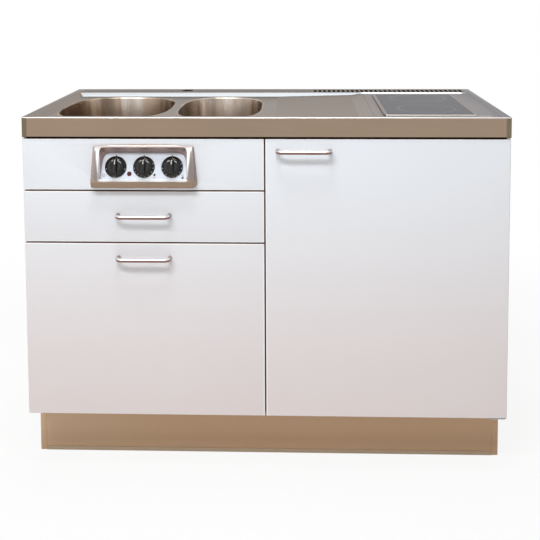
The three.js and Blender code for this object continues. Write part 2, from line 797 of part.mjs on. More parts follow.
function controlBezel() {
  const seat = frontFace - seatGap;
  const nose = frontFace - bezelNose;
  const brow = frontFace - bezelBrow;
  const side = outline([
    [seat, bezelBottom],
    [nose + 4, bezelBottom + 4, 2],
    [nose, bezelBottom + 11, 5],
    [nose + 1.5, openingBottom, 1],
    [brow, bezelTop - 3, 1],
    [seat, bezelTop + 3],
  ]);
  const outside = carriedAcross(side, panelX - bezelBottomWidth, panelX + bezelBottomWidth)
    .intersect(loft([bezelRing(nose - 1, bezelDraft), bezelRing(seat, 1)]))
    .add(panelOpening(collarWall, seat - 1, collarDepth));
  const pocket = loft([openingRing(bezelNose), openingRing(0), plateRing(0, 0)]);
  const plateSeat = loft([plateRing(seatGap, seatGap), plateRing(seatGap, -plateThickness - seatGap)]);
  const behindPlate = loft([plateRing(-plateLip, 1), plateRing(-plateLip, -2 * collarDepth)]);
  const bezel = outside.subtract(pocket).subtract(plateSeat).subtract(behindPlate);
  place(kitchenette, 'control_bezel', bezel, steelSatin);
}

// Everything on the tilted dial plate is laid out in a group whose +Z leaves the plate.
const dialGroup = new THREE.Group();
dialGroup.position.set(panelX, knobAxisY, knobAxisZ);
dialGroup.rotation.x = Math.PI / 2 - plateTilt;
kitchenette.add(dialGroup);

function dialPlate() {
  let plate = loft([plateRing(0, 0), plateRing(0, -plateThickness)]);
  const hole = (x, y, diameter) =>
    cylinder(diameter, -plateThickness - 4, 4, 12)
      .translate(x, y, 0)
      .rotate([90 - THREE.MathUtils.radToDeg(plateTilt), 0, 0])
      .translate(panelX, knobAxisY, knobAxisZ);
  [-knobSpacing, 0, knobSpacing].forEach((x) => {
    plate = plate.subtract(hole(x, 0, spindleDiameter + 1.2));
  });
  plate = plate.subtract(hole(lampX - panelX, -lampDrop, lampDiameter - 2));
  place(kitchenette, 'dial_plate', plate, dialWhite);
}

// A knob: marked skirt, hub and grip bar, with a blind socket for its spindle.
function knob(name, x) {
  const socket = spindleDiameter / 2 + seatGap;
  const skirt = knobSkirt / 2;
  const hub = knobHub / 2;
  const lift = 0.5;
  const hubTop = 10.5;
  const body = turned([
    [socket, lift],
    [skirt - 0.6, lift],
    [skirt, lift + 0.6],
    [skirt, lift + 2],
    [skirt - 1, lift + 2.8],
    [hub + 1, lift + 3.6],
    [hub, lift + 5],
    [hub - 1, hubTop - 0.8],
    [hub - 2.4, hubTop],
    [0, hubTop],
    [0, hubTop - 1.2],
    [socket, hubTop - 1.2],
    [socket, lift],
  ], 24);
  const grip = raised(rectangle(-gripWidth / 2, gripWidth / 2, 1 - hub, hub - 1, 4), hubTop - 1, knobHeight);
  place(dialGroup, `knob_${name}`, body.add(grip), knobBlack, [x, 0, 0]);
  const spindle = cylinder(spindleDiameter, -spindleDepth, hubTop - 1.2 - seatGap, 12);
  place(dialGroup, `spindle_${name}`, spindle, zincSheet, [x, 0, 0]);
}

// A switch body behind the plate, with a blind bore for the spindle and blade terminals.
function switchBody(name, x, drumDiameter) {
  const front = -plateThickness - seatGap;
  const back = front - switchDepth;
  const bore = cylinder(spindleDiameter + 2 * seatGap, -spindleDepth - seatGap, 1, 12);
  let body = raised(
    rectangle(-switchWidth / 2, switchWidth / 2, -switchHeight / 2, switchHeight / 2, 4),
    back + 12,
    front,
  ).add(cylinder(drumDiameter, back, back + 14, 16));
  [-9, -3, 3, 9].forEach((terminal) => {
    body = body.add(block(terminal - 0.5, terminal + 0.5, 4, 10.3, back - 8, back + 1));
  });
  place(dialGroup, name, body.subtract(bore), bakelite, [x, 0, 0]);
}

function pilotLamp() {
  const radius = lampDiameter / 2;
  const stem = radius - 1 - seatGap;
  const lens = turned([
    [0, -14],
    [stem, -14],
    [stem, seatGap],
    [radius, seatGap],
    [radius, 1.2],
    [radius * 0.8, 2.6],
    [radius * 0.4, 3.2],
    [0, 3.4],
  ], 12);
  place(dialGroup, 'pilot_lamp', lens, lampRed, [lampX - panelX, -lampDrop, 0]);
}

// ---------------------------------------------------------------- carcass and plinth
function carcass() {
  const floor = plinthHeight;
  const top = worktopBottom;
  const rearInside = carcassBack - hardboard;
  const add = (name, body, material) => place(kitchenette, name, body, material);
  add('side_left', block(-sideOuter, -sideInner, carcassFront, carcassBack, floor, top), whiteBoard);
  add('side_middle', block(-middleHalf, middleHalf, carcassFront, carcassBack, floor, top), whiteBoard);
  add('side_right', block(sideInner, sideOuter, carcassFront, carcassBack, floor, top), whiteBoard);
  add('base_left', block(-sideInner, -middleHalf, carcassFront, rearInside, floor, baseTop), whiteBoard);
  add('base_right', block(middleHalf, sideInner, carcassFront, carcassBack, floor, baseTop), whiteBoard);
  const railEnd = carcassFront + railDepth;
  add('rail_front', block(middleHalf, sideInner, carcassFront, railEnd, top - board, top), whiteBoard);
  const ventFront = ventCentreY - ventLength / 2 - frontGap;
  const railBack = block(middleHalf, sideInner, ventFront - railDepth / 2, ventFront, top - board, top);
  add('rail_back', railBack, whiteBoard);
  const hatch = block(trapX - hatchWidth / 2, trapX + hatchWidth / 2, 0, unitDepth, hatchBottom, unitHeight);
  const back = block(-sideInner, -middleHalf, rearInside, carcassBack, floor, top).subtract(hatch);
  add('back_panel', back, hardboardBrown);
}

function plinth() {
  const add = (name, body, material) => place(kitchenette, name, body, material);
  const back = plinthFront + board;
  add('plinth_front', block(-sideInner, sideInner, plinthFront, back, 0, plinthHeight), plinthTan);
  add('plinth_left', block(-sideOuter, -sideInner, plinthFront, carcassBack, 0, plinthHeight), plinthTan);
  add('plinth_right', block(sideInner, sideOuter, plinthFront, carcassBack, 0, plinthHeight), plinthTan);
  const plinthBack = block(-sideInner, sideInner, carcassBack - board, carcassBack, 0, plinthHeight);
  add('plinth_back', plinthBack, plinthTan);
  const seal = rectangle(plinthFront - sealThickness, plinthFront, 0, sealHeight);
  add('plinth_seal', carriedAcross(seal, -sideInner, sideInner), sealPale);
}

// ---------------------------------------------------------------- fronts and handles
// A front with eased edges on its face.
function frontPanel(x0, x1, z0, z1) {
  const ring = (y, inset) => [
    [x0 + inset, y, z0 + inset],
    [x1 - inset, y, z0 + inset],
    [x1 - inset, y, z1 - inset],
    [x0 + inset, y, z1 - inset],
  ];
  return loft([ring(frontFace, frontEdge), ring(frontFace + frontEdge, 0), ring(frontBack, 0)]);
}

function controlFront() {
  const spacer = (x0, x1) => block(x0, x1, frontBack - 1, carcassFront, controlBottom + 8, frontTop - 8);
  const front = join(
    frontPanel(-sideOuter, -frontGap / 2, controlBottom, frontTop),
    spacer(-sideOuter + 2, -sideInner - 2),
    spacer(-middleHalf + 1, -frontGap / 2 - 1),
  ).subtract(panelOpening(collarWall + seatGap, 0, carcassFront + 1));
  place(kitchenette, 'control_front', front, whiteFront);
}

// A bow handle bent from round rod, its feet against the front.
function handle(name, x, z) {
  const foot = frontFace - seatGap;
  const bar = frontFace - handleReach + handleRod / 2;
  const half = handleSpan / 2;
  const point = (dx, y) => new THREE.Vector3(dx, y, 0);
  const bend = (from, corner, to) => new THREE.QuadraticBezierCurve3(from, corner, to);
  const path = new THREE.CurvePath();
  path.add(new THREE.LineCurve3(point(-half, foot), point(-half, bar + handleBend)));
  path.add(bend(point(-half, bar + handleBend), point(-half, bar), point(-half + handleBend, bar)));
  path.add(new THREE.LineCurve3(point(-half + handleBend, bar), point(half - handleBend, bar)));
  path.add(bend(point(half - handleBend, bar), point(half, bar), point(half, bar + handleBend)));
  path.add(new THREE.LineCurve3(point(half, bar + handleBend), point(half, foot)));
  const section = new THREE.Shape();
  section.absarc(0, 0, handleRod / 2, 0, 2 * Math.PI);
  const geometry = new THREE.ExtrudeGeometry(section, { steps: 30, curveSegments: 4, extrudePath: path });
  place(kitchenette, name, solid(geometry), steelSatin, [x, 0, z]);
}

// ---------------------------------------------------------------- drawers
// A drawer box with the inner runner bars on its sides.
function drawerBox(name, bottomZ, depth, wallHeight) {
  const left = -sideInner + runnerThickness;
  const right = -middleHalf - runnerThickness;
  const front = frontBack + seatGap;
  const inside = front + depth - boxWall;
  const top = bottomZ + wallHeight;
  const shell = block(left, right, front, front + depth, bottomZ, top).subtract(
    block(left + boxWall, right - boxWall, front + boxWall, inside, bottomZ + boxFloor, top + 1),
  );
  const centre = bottomZ + boxFloor + runnerHeight / 2;
  const half = runnerHeight / 2 - runnerSheet - runnerClearance;
  const inset = runnerSheet + runnerClearance;
  const bar = (x0, x1) => block(x0, x1, carcassFront + 1, front + depth, centre - half, centre + half);
  const box = join(shell, bar(-sideInner + inset, left + 1), bar(right - 1, -middleHalf - inset));
  place(kitchenette, name, box, whiteBoard);
}

// The pair of fixed channels that a drawer box runs in.
function runners(name, bottomZ, depth) {
  const centre = bottomZ + boxFloor + runnerHeight / 2;
  const half = runnerHeight / 2;
  const reach = runnerThickness - 1.5;
  const rear = frontBack + seatGap + depth;
  const channel = (wall, direction) => {
    const span = (near, far) => [wall + direction * near, wall + direction * far].sort((a, b) => a - b);
    const [x0, x1] = span(0, reach);
    const [hollow0, hollow1] = span(runnerSheet, reach + 1);
    return block(x0, x1, carcassFront, rear, centre - half, centre + half).subtract(
      block(hollow0, hollow1, 0, unitDepth, centre - half + runnerSheet, centre + half - runnerSheet),
    );
  };
  place(kitchenette, `${name}_runner_left`, channel(-sideInner, 1), zincSheet);
  place(kitchenette, `${name}_runner_right`, channel(-middleHalf, -1), zincSheet);
}

function drawers() {
  const right = -frontGap / 2;
  const shallow = frontPanel(-sideOuter, right, drawerFrontBottom, drawerFrontTop);
  const deep = frontPanel(-sideOuter, right, frontBottom, pulloutFrontTop);
  place(kitchenette, 'drawer_front', shallow, whiteFront);
  drawerBox('drawer_box', drawerFrontBottom + drawerLift, drawerDepth, drawerWallHeight);
  runners('drawer', drawerFrontBottom + drawerLift, drawerDepth);
  handle('drawer_handle', leftFrontX, drawerFrontTop - drawerHandleDrop);
  place(kitchenette, 'pullout_front', deep, whiteFront);
  drawerBox('pullout_box', frontBottom + pulloutLift, pulloutDepth, pulloutWallHeight);
  runners('pullout', frontBottom + pulloutLift, pulloutDepth);
  handle('pullout_handle', leftFrontX, pulloutFrontTop - pulloutHandleDrop);
}

// ---------------------------------------------------------------- refrigerator
function fridgeCabinet() {
  const nicheTop = fridgeBottom + nicheHeight;
  const floor = fridgeBottom + fridgeWall;
  const ceiling = fridgeTop - fridgeWall;
  const mouth = fridgeFront - 1;
  const lower = block(cavityLeft, cavityRight, mouth, nicheFront - nicheWall, floor, ceiling);
  const cavityBack = fridgeBack - fridgeRearWall;
  const upper = block(cavityLeft, cavityRight, mouth, cavityBack, nicheTop + nicheWall, ceiling);
  const niche = block(
    fridgeLeft + nicheWall,
    fridgeRight - nicheWall,
    nicheFront,
    fridgeBack + 1,
    fridgeBottom - 1,
    nicheTop,
  );
  let cabinet = block(fridgeLeft, fridgeRight, fridgeFront, fridgeBack, fridgeBottom, fridgeTop)
    .subtract(lower.add(upper))
    .subtract(niche);
  shelfHeights.forEach((z) => {
    const rib = (x0, x1) => block(x0, x1, shelfFront + 5, cavityBack - 30, z - 8, z - seatGap);
    cabinet = join(cabinet, rib(cavityLeft - 1, cavityLeft + 8), rib(cavityRight - 8, cavityRight + 1));
  });
  const footY = [fridgeFront + nicheWall, fridgeBack - nicheWall];
  const footX = [fridgeLeft + nicheWall / 2, fridgeRight - nicheWall / 2];
  footX.forEach((x) =>
    footY.forEach((y) => {
      cabinet = cabinet.add(cylinder(nicheWall - 6, baseTop, fridgeBottom + 1, 16).translate(x, y, 0));
    }),
  );
  place(kitchenette, 'fridge_cabinet', cabinet, plasticWhite);
}

function fridgeShelves() {
  const rear = fridgeBack - fridgeRearWall - frontGap;
  shelfHeights.forEach((z, index) => {
    const shelf = block(cavityLeft + 1, cavityRight - 1, shelfFront, rear, z, z + shelfThickness);
    place(kitchenette, ['fridge_shelf_lower', 'fridge_shelf_upper'][index], shelf, shelfGlass);
  });
}

// The insulated door with its recessed inside and three open bottle racks.
function fridgeInnerDoor() {
  const low = fridgeBottom + innerDoorMargin;
  const high = fridgeTop - innerDoorMargin;
  const front = frontBack + seatGap;
  const left = fridgeLeft + rackInset;
  const right = fridgeRight - rackInset;
  const recess = innerDoorBack - 15;
  let door = block(fridgeLeft, fridgeRight, front, innerDoorBack, low, high).subtract(
    block(left - 5, right + 5, recess, innerDoorBack + 1, low + rackInset, high - rackInset),
  );
  const rackStep = (high - low - 2 * rackInset) / rackCount;
  for (let index = 0; index < rackCount; index += 1) {
    const z = low + rackInset + 6 + index * rackStep;
    const end = innerDoorBack + rackDepth;
    const rack = block(left, right, recess - 1, end, z, z + rackHeight).subtract(
      block(left + rackWall, right - rackWall, recess, end - rackWall, z + rackWall, z + rackHeight + 1),
    );
    door = door.add(rack);
  }
  place(kitchenette, 'fridge_inner_door', door, plasticWhite);
}

function fridgeGasket() {
  const inset = 6;
  const low = fridgeBottom + innerDoorMargin + inset;
  const high = fridgeTop - innerDoorMargin - inset;
  const outer = rectangle(fridgeLeft + inset, fridgeRight - inset, low, high, 10);
  const inner = rectangle(
    fridgeLeft + inset + gasketWidth,
    fridgeRight - inset - gasketWidth,
    low + gasketWidth,
    high - gasketWidth,
    4,
  );
  const front = innerDoorBack + seatGap;
  const back = fridgeFront - seatGap;
  const ring = carriedBack(outer, front, back).subtract(carriedBack(inner, front - 1, back + 1));
  place(kitchenette, 'fridge_gasket', ring, gasketGrey);
}

function fridgeDoorPanel() {
  const hole = cylinder(hingePin + 2 * seatGap, 0, hingePinReach + 1, 16).translate(hingeX, hingeY, 0);
  const panel = frontPanel(frontGap / 2, sideOuter, frontBottom, frontTop)
    .subtract(hole.translate(0, 0, frontBottom - 0.4))
    .subtract(hole.translate(0, 0, frontTop - hingePinReach - 0.6));
  place(kitchenette, 'fridge_door_panel', panel, whiteFront);
  handle('fridge_handle', doorHandleX, frontTop - doorHandleDrop);
}

// An angle bracket screwed to the carcass edge, with the pin that the door turns on.
function hinge(name, edgeZ, direction) {
  const clear = 0.6;
  const near = edgeZ + direction * clear;
  const far = near + direction * hingePlate;
  const flangeEnd = near - direction * (board + clear);
  const arm = rectangle(hingeX - 34, hingeX + 6, hingeY - 7, carcassFront, 2.5);
  const pinEnd = edgeZ - direction * hingePinReach;
  const span = (a, b) => [Math.min(a, b), Math.max(a, b)];
  const plate = raised(arm, ...span(near, far), 3);
  const flangeSpan = span(flangeEnd, far);
  const flange = block(hingeX - 34, hingeX - 10.5, carcassFront - hingePlate, carcassFront, ...flangeSpan);
  const pin = cylinder(hingePin, ...span(pinEnd, far), 16).translate(hingeX, hingeY, 0);
  place(kitchenette, name, join(plate, flange, pin), steelSatin);
}

// A hermetic compressor on the plate that spans the niche.
function compressor() {
  const radius = compressorDiameter / 2;
  const base = fridgeBottom + 14;
  const dome = turned([
    [0, base],
    [radius * 0.7, base],
    [radius * 0.94, base + compressorHeight * 0.14],
    [radius * 0.96, base + compressorHeight * 0.42],
    [radius, base + compressorHeight * 0.44],
    [radius, base + compressorHeight * 0.5],
    [radius * 0.96, base + compressorHeight * 0.52],
    [radius * 0.88, base + compressorHeight * 0.8],
    [radius * 0.6, base + compressorHeight * 0.96],
    [0, base + compressorHeight],
  ], 24);
  const centreY = (nicheFront + fridgeBack) / 2;
  const plateX = (fridgeRight - fridgeLeft) / 2 - nicheWall - seatGap;
  const halfY = (fridgeBack - nicheFront) / 2 - seatGap;
  let body = dome.add(block(-plateX, plateX, -halfY, halfY, fridgeBottom, fridgeBottom + 2));
  [-1, 1].forEach((sideX) =>
    [-1, 1].forEach((sideY) => {
      const foot = cylinder(20, fridgeBottom + 1, base + 14, 12);
      body = body.add(foot.translate(sideX * radius * 0.62, sideY * radius * 0.62, 0));
    }),
  );
  const boxBase = base + startBoxRise;
  const startBox = rectangle(-startBoxHeight / 2, startBoxHeight / 2, boxBase, boxBase + startBoxHeight, 5);
  body = body.add(carriedAcross(startBox, radius * 0.8, radius + 26));
  place(kitchenette, 'compressor', body, blackEnamel, [fridgeCentreX, centreY, 0]);
}

// The condenser: one tube folded to and fro behind the cabinet, held off it by straps.
function condenser() {
  const left = fridgeLeft + condenserInset;
  const right = fridgeRight - condenserInset;
  const low = fridgeBottom + nicheHeight + condenserPitch;
  const y = fridgeBack + condenserTube;
  const runZ = (index) => low + index * condenserPitch;
  const condenserRuns = 1 + Math.floor((fridgeTop - condenserHead - low) / condenserPitch);
  let tube = rod([left, y, low], [right, y, low], condenserTube, 6);
  for (let index = 1; index < condenserRuns; index += 1) {
    const endX = index % 2 === 0 ? left : right;
    tube = tube.add(rod([left, y, runZ(index)], [right, y, runZ(index)], condenserTube, 6));
    tube = tube.add(rod([endX, y, runZ(index - 1)], [endX, y, runZ(index)], condenserTube, 6));
  }
  const top = runZ(condenserRuns - 1);
  [left + 60, fridgeCentreX, right - 60].forEach((x) => {
    tube = tube.add(block(x - 8, x + 8, fridgeBack + seatGap, y, low - 10, top + 10));
  });
  place(kitchenette, 'condenser', tube, blackEnamel);
}

// ---------------------------------------------------------------- assembly
worktop();
worktopCore();
bowl('bowl_large', largeBowlWidth, largeBowlX);
bowl('bowl_small', smallBowlWidth, smallBowlX);
wasteFitting('waste_large', largeBowlX);
wasteFitting('waste_small', smallBowlX);
wastePipe();
bottleTrap();
hobTrimFrame();
hobGlass();
hobTray();
heater('heater_front', frontHeaterDiameter, frontHeaterX, frontHeaterY);
heater('heater_rear', rearHeaterDiameter, rearHeaterX, rearHeaterY);
carcass();
plinth();
controlFront();
controlBezel();
dialPlate();
knob('timer', -knobSpacing);
knob('front_zone', 0);
knob('rear_zone', knobSpacing);
switchBody('timer_switch', -knobSpacing, 30);
switchBody('regulator_front_zone', 0, 24);
switchBody('regulator_rear_zone', knobSpacing, 24);
pilotLamp();
drawers();
fridgeCabinet();
fridgeShelves();
fridgeInnerDoor();
fridgeGasket();
fridgeDoorPanel();
hinge('hinge_upper', frontTop, 1);
hinge('hinge_lower', frontBottom, -1);
compressor();
condenser();

// The footprint runs from the handles' bows to the worktop's rear edge.
kitchenette.position.y = -(unitDepth + frontFace - handleReach) / 2;

export default kitchenette;
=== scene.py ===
# Kitchenette unit with sink and hob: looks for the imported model, in metres.
import json
import math
import bmesh
import bpy
from mathutils import Matrix, Quaternion, Vector


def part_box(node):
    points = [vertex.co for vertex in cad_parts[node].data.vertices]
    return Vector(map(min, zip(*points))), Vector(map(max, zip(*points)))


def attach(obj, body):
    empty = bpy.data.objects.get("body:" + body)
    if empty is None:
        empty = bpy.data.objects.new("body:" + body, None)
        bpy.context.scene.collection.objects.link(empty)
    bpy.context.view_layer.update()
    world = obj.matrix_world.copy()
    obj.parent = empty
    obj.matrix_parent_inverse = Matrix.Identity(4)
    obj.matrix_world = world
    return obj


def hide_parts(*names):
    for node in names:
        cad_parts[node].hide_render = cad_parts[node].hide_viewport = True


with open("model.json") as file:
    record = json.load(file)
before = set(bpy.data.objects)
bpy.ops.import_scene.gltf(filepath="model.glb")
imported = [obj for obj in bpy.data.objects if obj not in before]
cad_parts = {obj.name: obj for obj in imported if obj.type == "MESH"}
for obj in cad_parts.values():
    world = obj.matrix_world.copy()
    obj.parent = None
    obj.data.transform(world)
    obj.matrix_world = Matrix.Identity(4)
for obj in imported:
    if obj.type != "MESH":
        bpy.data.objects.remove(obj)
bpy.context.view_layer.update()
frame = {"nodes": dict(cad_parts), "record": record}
rowShift = -0.2855  # the worktop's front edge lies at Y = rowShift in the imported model
bpy.context.scene.view_settings.view_transform = "Standard"

print("frame loaded")

# camera: fitted to the photograph, its horizon near the top edge of the picture
cameraLook = {"place": (0.092, -2.5315, 1.230), "yaw": 1.98, "pitch": 4.47, "roll": -0.24,
              "lens": 61.96, "shiftY": -0.3994}


def makeCamera(look):
    lens = bpy.data.cameras.new("camera")
    lens.sensor_width = 36.0
    lens.lens = look["lens"]
    lens.shift_y = look["shiftY"]
    lens.clip_start = 0.05
    lens.clip_end = 60.0
    camera = bpy.data.objects.new("camera", lens)
    bpy.context.scene.collection.objects.link(camera)
    turn = Matrix.Rotation(math.radians(look["yaw"]), 4, "Z")
    tilt = Matrix.Rotation(math.radians(90.0 - look["pitch"]), 4, "X")
    lean = Matrix.Rotation(math.radians(look["roll"]), 4, "Z")
    camera.matrix_world = Matrix.Translation(look["place"]) @ turn @ tilt @ lean
    bpy.context.scene.camera = camera
    return camera


camera = makeCamera(cameraLook)


# shader maths: a socket that adds its own nodes when it is used in a sum
class Wire:
    def __init__(self, tree, socket):
        self.tree = tree
        self.socket = socket

    def math(self, operation, first, second=None):
        node = self.tree.nodes.new("ShaderNodeMath")
        node.operation = operation
        for place, value in enumerate((first, second)):
            if isinstance(value, Wire):
                self.tree.links.new(value.socket, node.inputs[place])
            elif value is not None:
                node.inputs[place].default_value = value
        return Wire(self.tree, node.outputs[0])

    def __add__(self, other):
        return self.math("ADD", self, other)

    def __radd__(self, other):
        return self.math("ADD", other, self)

    def __sub__(self, other):
        return self.math("SUBTRACT", self, other)

    def __rsub__(self, other):
        return self.math("SUBTRACT", other, self)

    def __mul__(self, other):
        return self.math("MULTIPLY", self, other)

    def __rmul__(self, other):
        return self.math("MULTIPLY", other, self)

    def __lt__(self, other):
        return self.math("LESS_THAN", self, other)

    def most(self, other):
        return self.math("MAXIMUM", self, other)

    def size(self):
        return self.math("ABSOLUTE", self)

    def root(self):
        return self.math("SQRT", self)


# one material and its shader sheet
class Finish:
    def __init__(self, name, **fixed):
        self.material = bpy.data.materials.new(name)
        self.material.use_nodes = True
        self.tree = self.material.node_tree
        self.shader = self.tree.nodes["Principled BSDF"]
        for socket, value in fixed.items():
            self.shader.inputs[socket.replace("_", " ")].default_value = value

    # any node: its settings first, then the values or links of its sockets
    def node(self, kind, settings=None, sockets=None, output=0):
        made = self.tree.nodes.new("ShaderNode" + kind)
        stops = None
        for key, value in (settings or {}).items():
            if key == "stops":
                stops = value
            else:
                setattr(made, key, value)
        if stops:
            ramp = made.color_ramp.elements
            while len(ramp) < len(stops):
                ramp.new(0.5)
            for element, (place, shade) in zip(ramp, stops):
                element.position = place
                element.color = shade if len(shade) == 4 else (*shade, 1.0)
        for key, value in (sockets or {}).items():
            target = made.inputs[key]
            if isinstance(value, Wire):
                self.tree.links.new(value.socket, target)
            else:
                target.default_value = value
        return Wire(self.tree, made.outputs[output])

    def place(self):
        return self.node("TexCoord", output=3)

    def axes(self):
        split = self.tree.nodes.new("ShaderNodeSeparateXYZ")
        self.tree.links.new(self.place().socket, split.inputs[0])
        return [Wire(self.tree, out) for out in split.outputs]

    def stretched(self, scale, turn=(0.0, 0.0, 0.0)):
        return self.node("Mapping", sockets={"Vector": self.place(), "Rotation": turn, "Scale": scale})

    def noise(self, scale, detail=2.0, size=1.0, roughness=0.5):
        return self.node("TexNoise", sockets={"Vector": self.stretched(scale), "Scale": size,
                                              "Detail": detail, "Roughness": roughness})

    # one at the low end of the span, rising smoothly to one past its high end
    def rise(self, value, low, high):
        return self.node("MapRange", {"interpolation_type": "SMOOTHSTEP"},
                         {"Value": value, "From Min": low, "From Max": high})

    # a soft-edged band between low and high
    def band(self, value, low, high, soft):
        return self.rise(value, low - soft, low + soft) * (1.0 - self.rise(value, high - soft, high + soft))

    def blend(self, factor, first, second):
        sockets = {0: factor, 6: shade(first), 7: shade(second)}
        return self.node("Mix", {"data_type": "RGBA"}, sockets, output=2)

    def feed(self, socket, wire):
        self.tree.links.new(wire.socket, self.shader.inputs[socket])

    def relief(self, height, depth, strength=1.0):
        bump = self.node("Bump", sockets={"Height": height, "Distance": depth, "Strength": strength})
        self.feed("Normal", bump)


def shade(value):
    if isinstance(value, Wire) or len(value) == 4:
        return value
    return (*value, 1.0)


# a screen colour, 0 to 255, as the linear colour that a shader takes
def screen(red, green, blue):
    return tuple(((c / 255.0 + 0.055) / 1.055) ** 2.4 if c > 10 else c / 3294.6 for c in (red, green, blue))


# distances back from the worktop's front edge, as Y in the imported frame
def fromFront(*distances):
    return [rowShift + distance for distance in distances]


# painted reflections, highlights and shade for each part of the pressing, beside the steel's own tones, then
# where each one lies: X from the middle, Y back from the front edge, Z from the floor
steelLook = {
    "deck": screen(160, 153, 148), "deckDark": screen(148, 140, 134), "hob": screen(150, 148, 150),
    "right": screen(142, 143, 152), "slope": screen(150, 152, 154), "hobSlopeHighlight": screen(240, 242, 244),
    "ledge": screen(100, 94, 89), "side": screen(138, 130, 124), "sideRight": screen(138, 142, 152),
    "apron": screen(165, 145, 126), "apronDark": screen(150, 129, 111), "hemShade": screen(34, 20, 14),
    "cornerShade": screen(112, 104, 84), "rim": screen(232, 228, 224), "seam": screen(98, 74, 62),
    "drainer": screen(150, 142, 137), "drainerDark": screen(128, 119, 112), "roughness": 0.3,
    "apronY": (0.0008, 0.0022), "hobX": (0.262, 0.275), "rightX": (0.520, 0.545), "slopeY": (0.501, 0.5185),
    "slopeEnd": 0.566, "ledgeY": (0.5185, 0.5205), "sideX": (0.574, 0.580), "sideZ": (0.8962, 0.8995),
    "sideTurn": (-0.1, 0.1), "hemZ": (0.8515, 0.8523), "cornerX": (0.5845, 0.5885), "rimY": (0.0014, 0.0026),
    "rimZ": (0.8976, 0.8990), "hobLineX": (0.300, 0.560), "hobLineY": (0.038, 0.0525),
    "seamX": (0.2700, 0.2722), "seamY": (0.032, 0.499), "padX": (0.023, 0.235), "padY": (0.040, 0.495),
    "padZ": (0.880, 0.8985),
}


# brushed sheet steel, its lines along X; what each part of the pressing takes from the room is painted in as
# reflections, highlights and shade
def makeWorktopSteel(look):
    finish = Finish("worktopSteel", Metallic=1.0, Specular_Tint=(0.62, 0.58, 0.55, 1.0))
    x, y, z = finish.axes()
    lines = finish.noise((9.0, 520.0, 520.0), detail=3.0)
    cloud = finish.noise((5.0, 7.0, 7.0), detail=2.0)
    apron = 1.0 - finish.rise(y, *fromFront(*look["apronY"]))
    colour = finish.blend(cloud * 0.7 + lines * 0.3, look["deck"], look["deckDark"])
    # painted reflection: the deck round the hob painted greyer, and the deck right of it bluer
    colour = finish.blend(finish.rise(x, *look["hobX"]) * 0.8, colour, look["hob"])
    colour = finish.blend(finish.rise(x, *look["rightX"]) * 0.8, colour, look["right"])
    # painted reflection on the sloped band at the back, turned to a white painted highlight of the ceiling
    # lamp behind the hob
    slope = finish.band(y, *fromFront(*look["slopeY"]), 0.0008)
    slope = slope * finish.band(x.size(), -1.0, look["slopeEnd"], 0.004)
    onHob = finish.rise(x, *look["hobX"])
    colour = finish.blend(slope, colour, finish.blend(onHob, look["slope"], look["hobSlopeHighlight"]))
    # painted reflection: the ledge top along the back painted darker
    ledge = finish.rise(y, *fromFront(*look["ledgeY"]))
    colour = finish.blend(ledge, colour, look["ledge"])
    # painted reflection: the side rims painted browner on the left and bluer on the right
    side = finish.rise(z, *look["sideZ"]) * finish.rise(x.size(), *look["sideX"])
    sideTint = finish.blend(finish.rise(x, *look["sideTurn"]), look["side"], look["sideRight"])
    colour = finish.blend(side, colour, sideTint)
    # apron: a tan painted reflection, painted shade along its rolled lower edge, and painted shade on the
    # rounded corner bands at its ends
    hemShade = 1.0 - finish.rise(z, *look["hemZ"])
    corner = finish.rise(x.size(), *look["cornerX"])
    edge = finish.blend(lines * 0.6 + cloud * 0.4, look["apron"], look["apronDark"])
    edge = finish.blend(hemShade, edge, look["hemShade"])
    edge = finish.blend(corner * 0.8, edge, look["cornerShade"])
    colour = finish.blend(apron, colour, edge)
    # painted highlights: a pale line along the rounded front rim and along the front of the hob frame
    rim = finish.rise(z, *look["rimZ"]) * (1.0 - finish.rise(y, *fromFront(*look["rimY"])))
    hobTrimHighlight = finish.band(y, *fromFront(*look["hobLineY"]), 0.001) * finish.band(x, *look["hobLineX"], 0.002)
    colour = finish.blend(rim.most(hobTrimHighlight * 0.9), colour, look["rim"])
    # painted shade in the thin groove beside the hob
    seam = finish.band(x, *look["seamX"], 0.0003) * finish.band(y, *fromFront(*look["seamY"]), 0.001)
    colour = finish.blend(seam * 0.7, colour, look["seam"])
    grain = finish.noise((900.0, 900.0, 900.0), detail=1.0)
    pad = finish.band(x, *look["padX"], 0.003) * finish.band(y, *fromFront(*look["padY"]), 0.004)
    pad = pad * finish.band(z, *look["padZ"], 0.0005)
    colour = finish.blend(pad, colour, finish.blend(grain, look["drainerDark"], look["drainer"]))
    finish.feed("Base Color", colour)
    finish.feed("Roughness", lines * 0.12 + (look["roughness"] - 0.06) + pad * 0.18)
    finish.relief(lines * (1.0 - pad) + grain * pad * 2.0, 0.00012, 0.5)
    return finish.material


bowlLook = {"wall": screen(176, 158, 142), "dark": screen(112, 98, 84), "bright": screen(226, 220, 214),
            "deep": screen(120, 106, 94), "small": screen(214, 206, 198), "deepZ": (0.770, 0.880),
            "smallX": (-0.252, -0.248)}


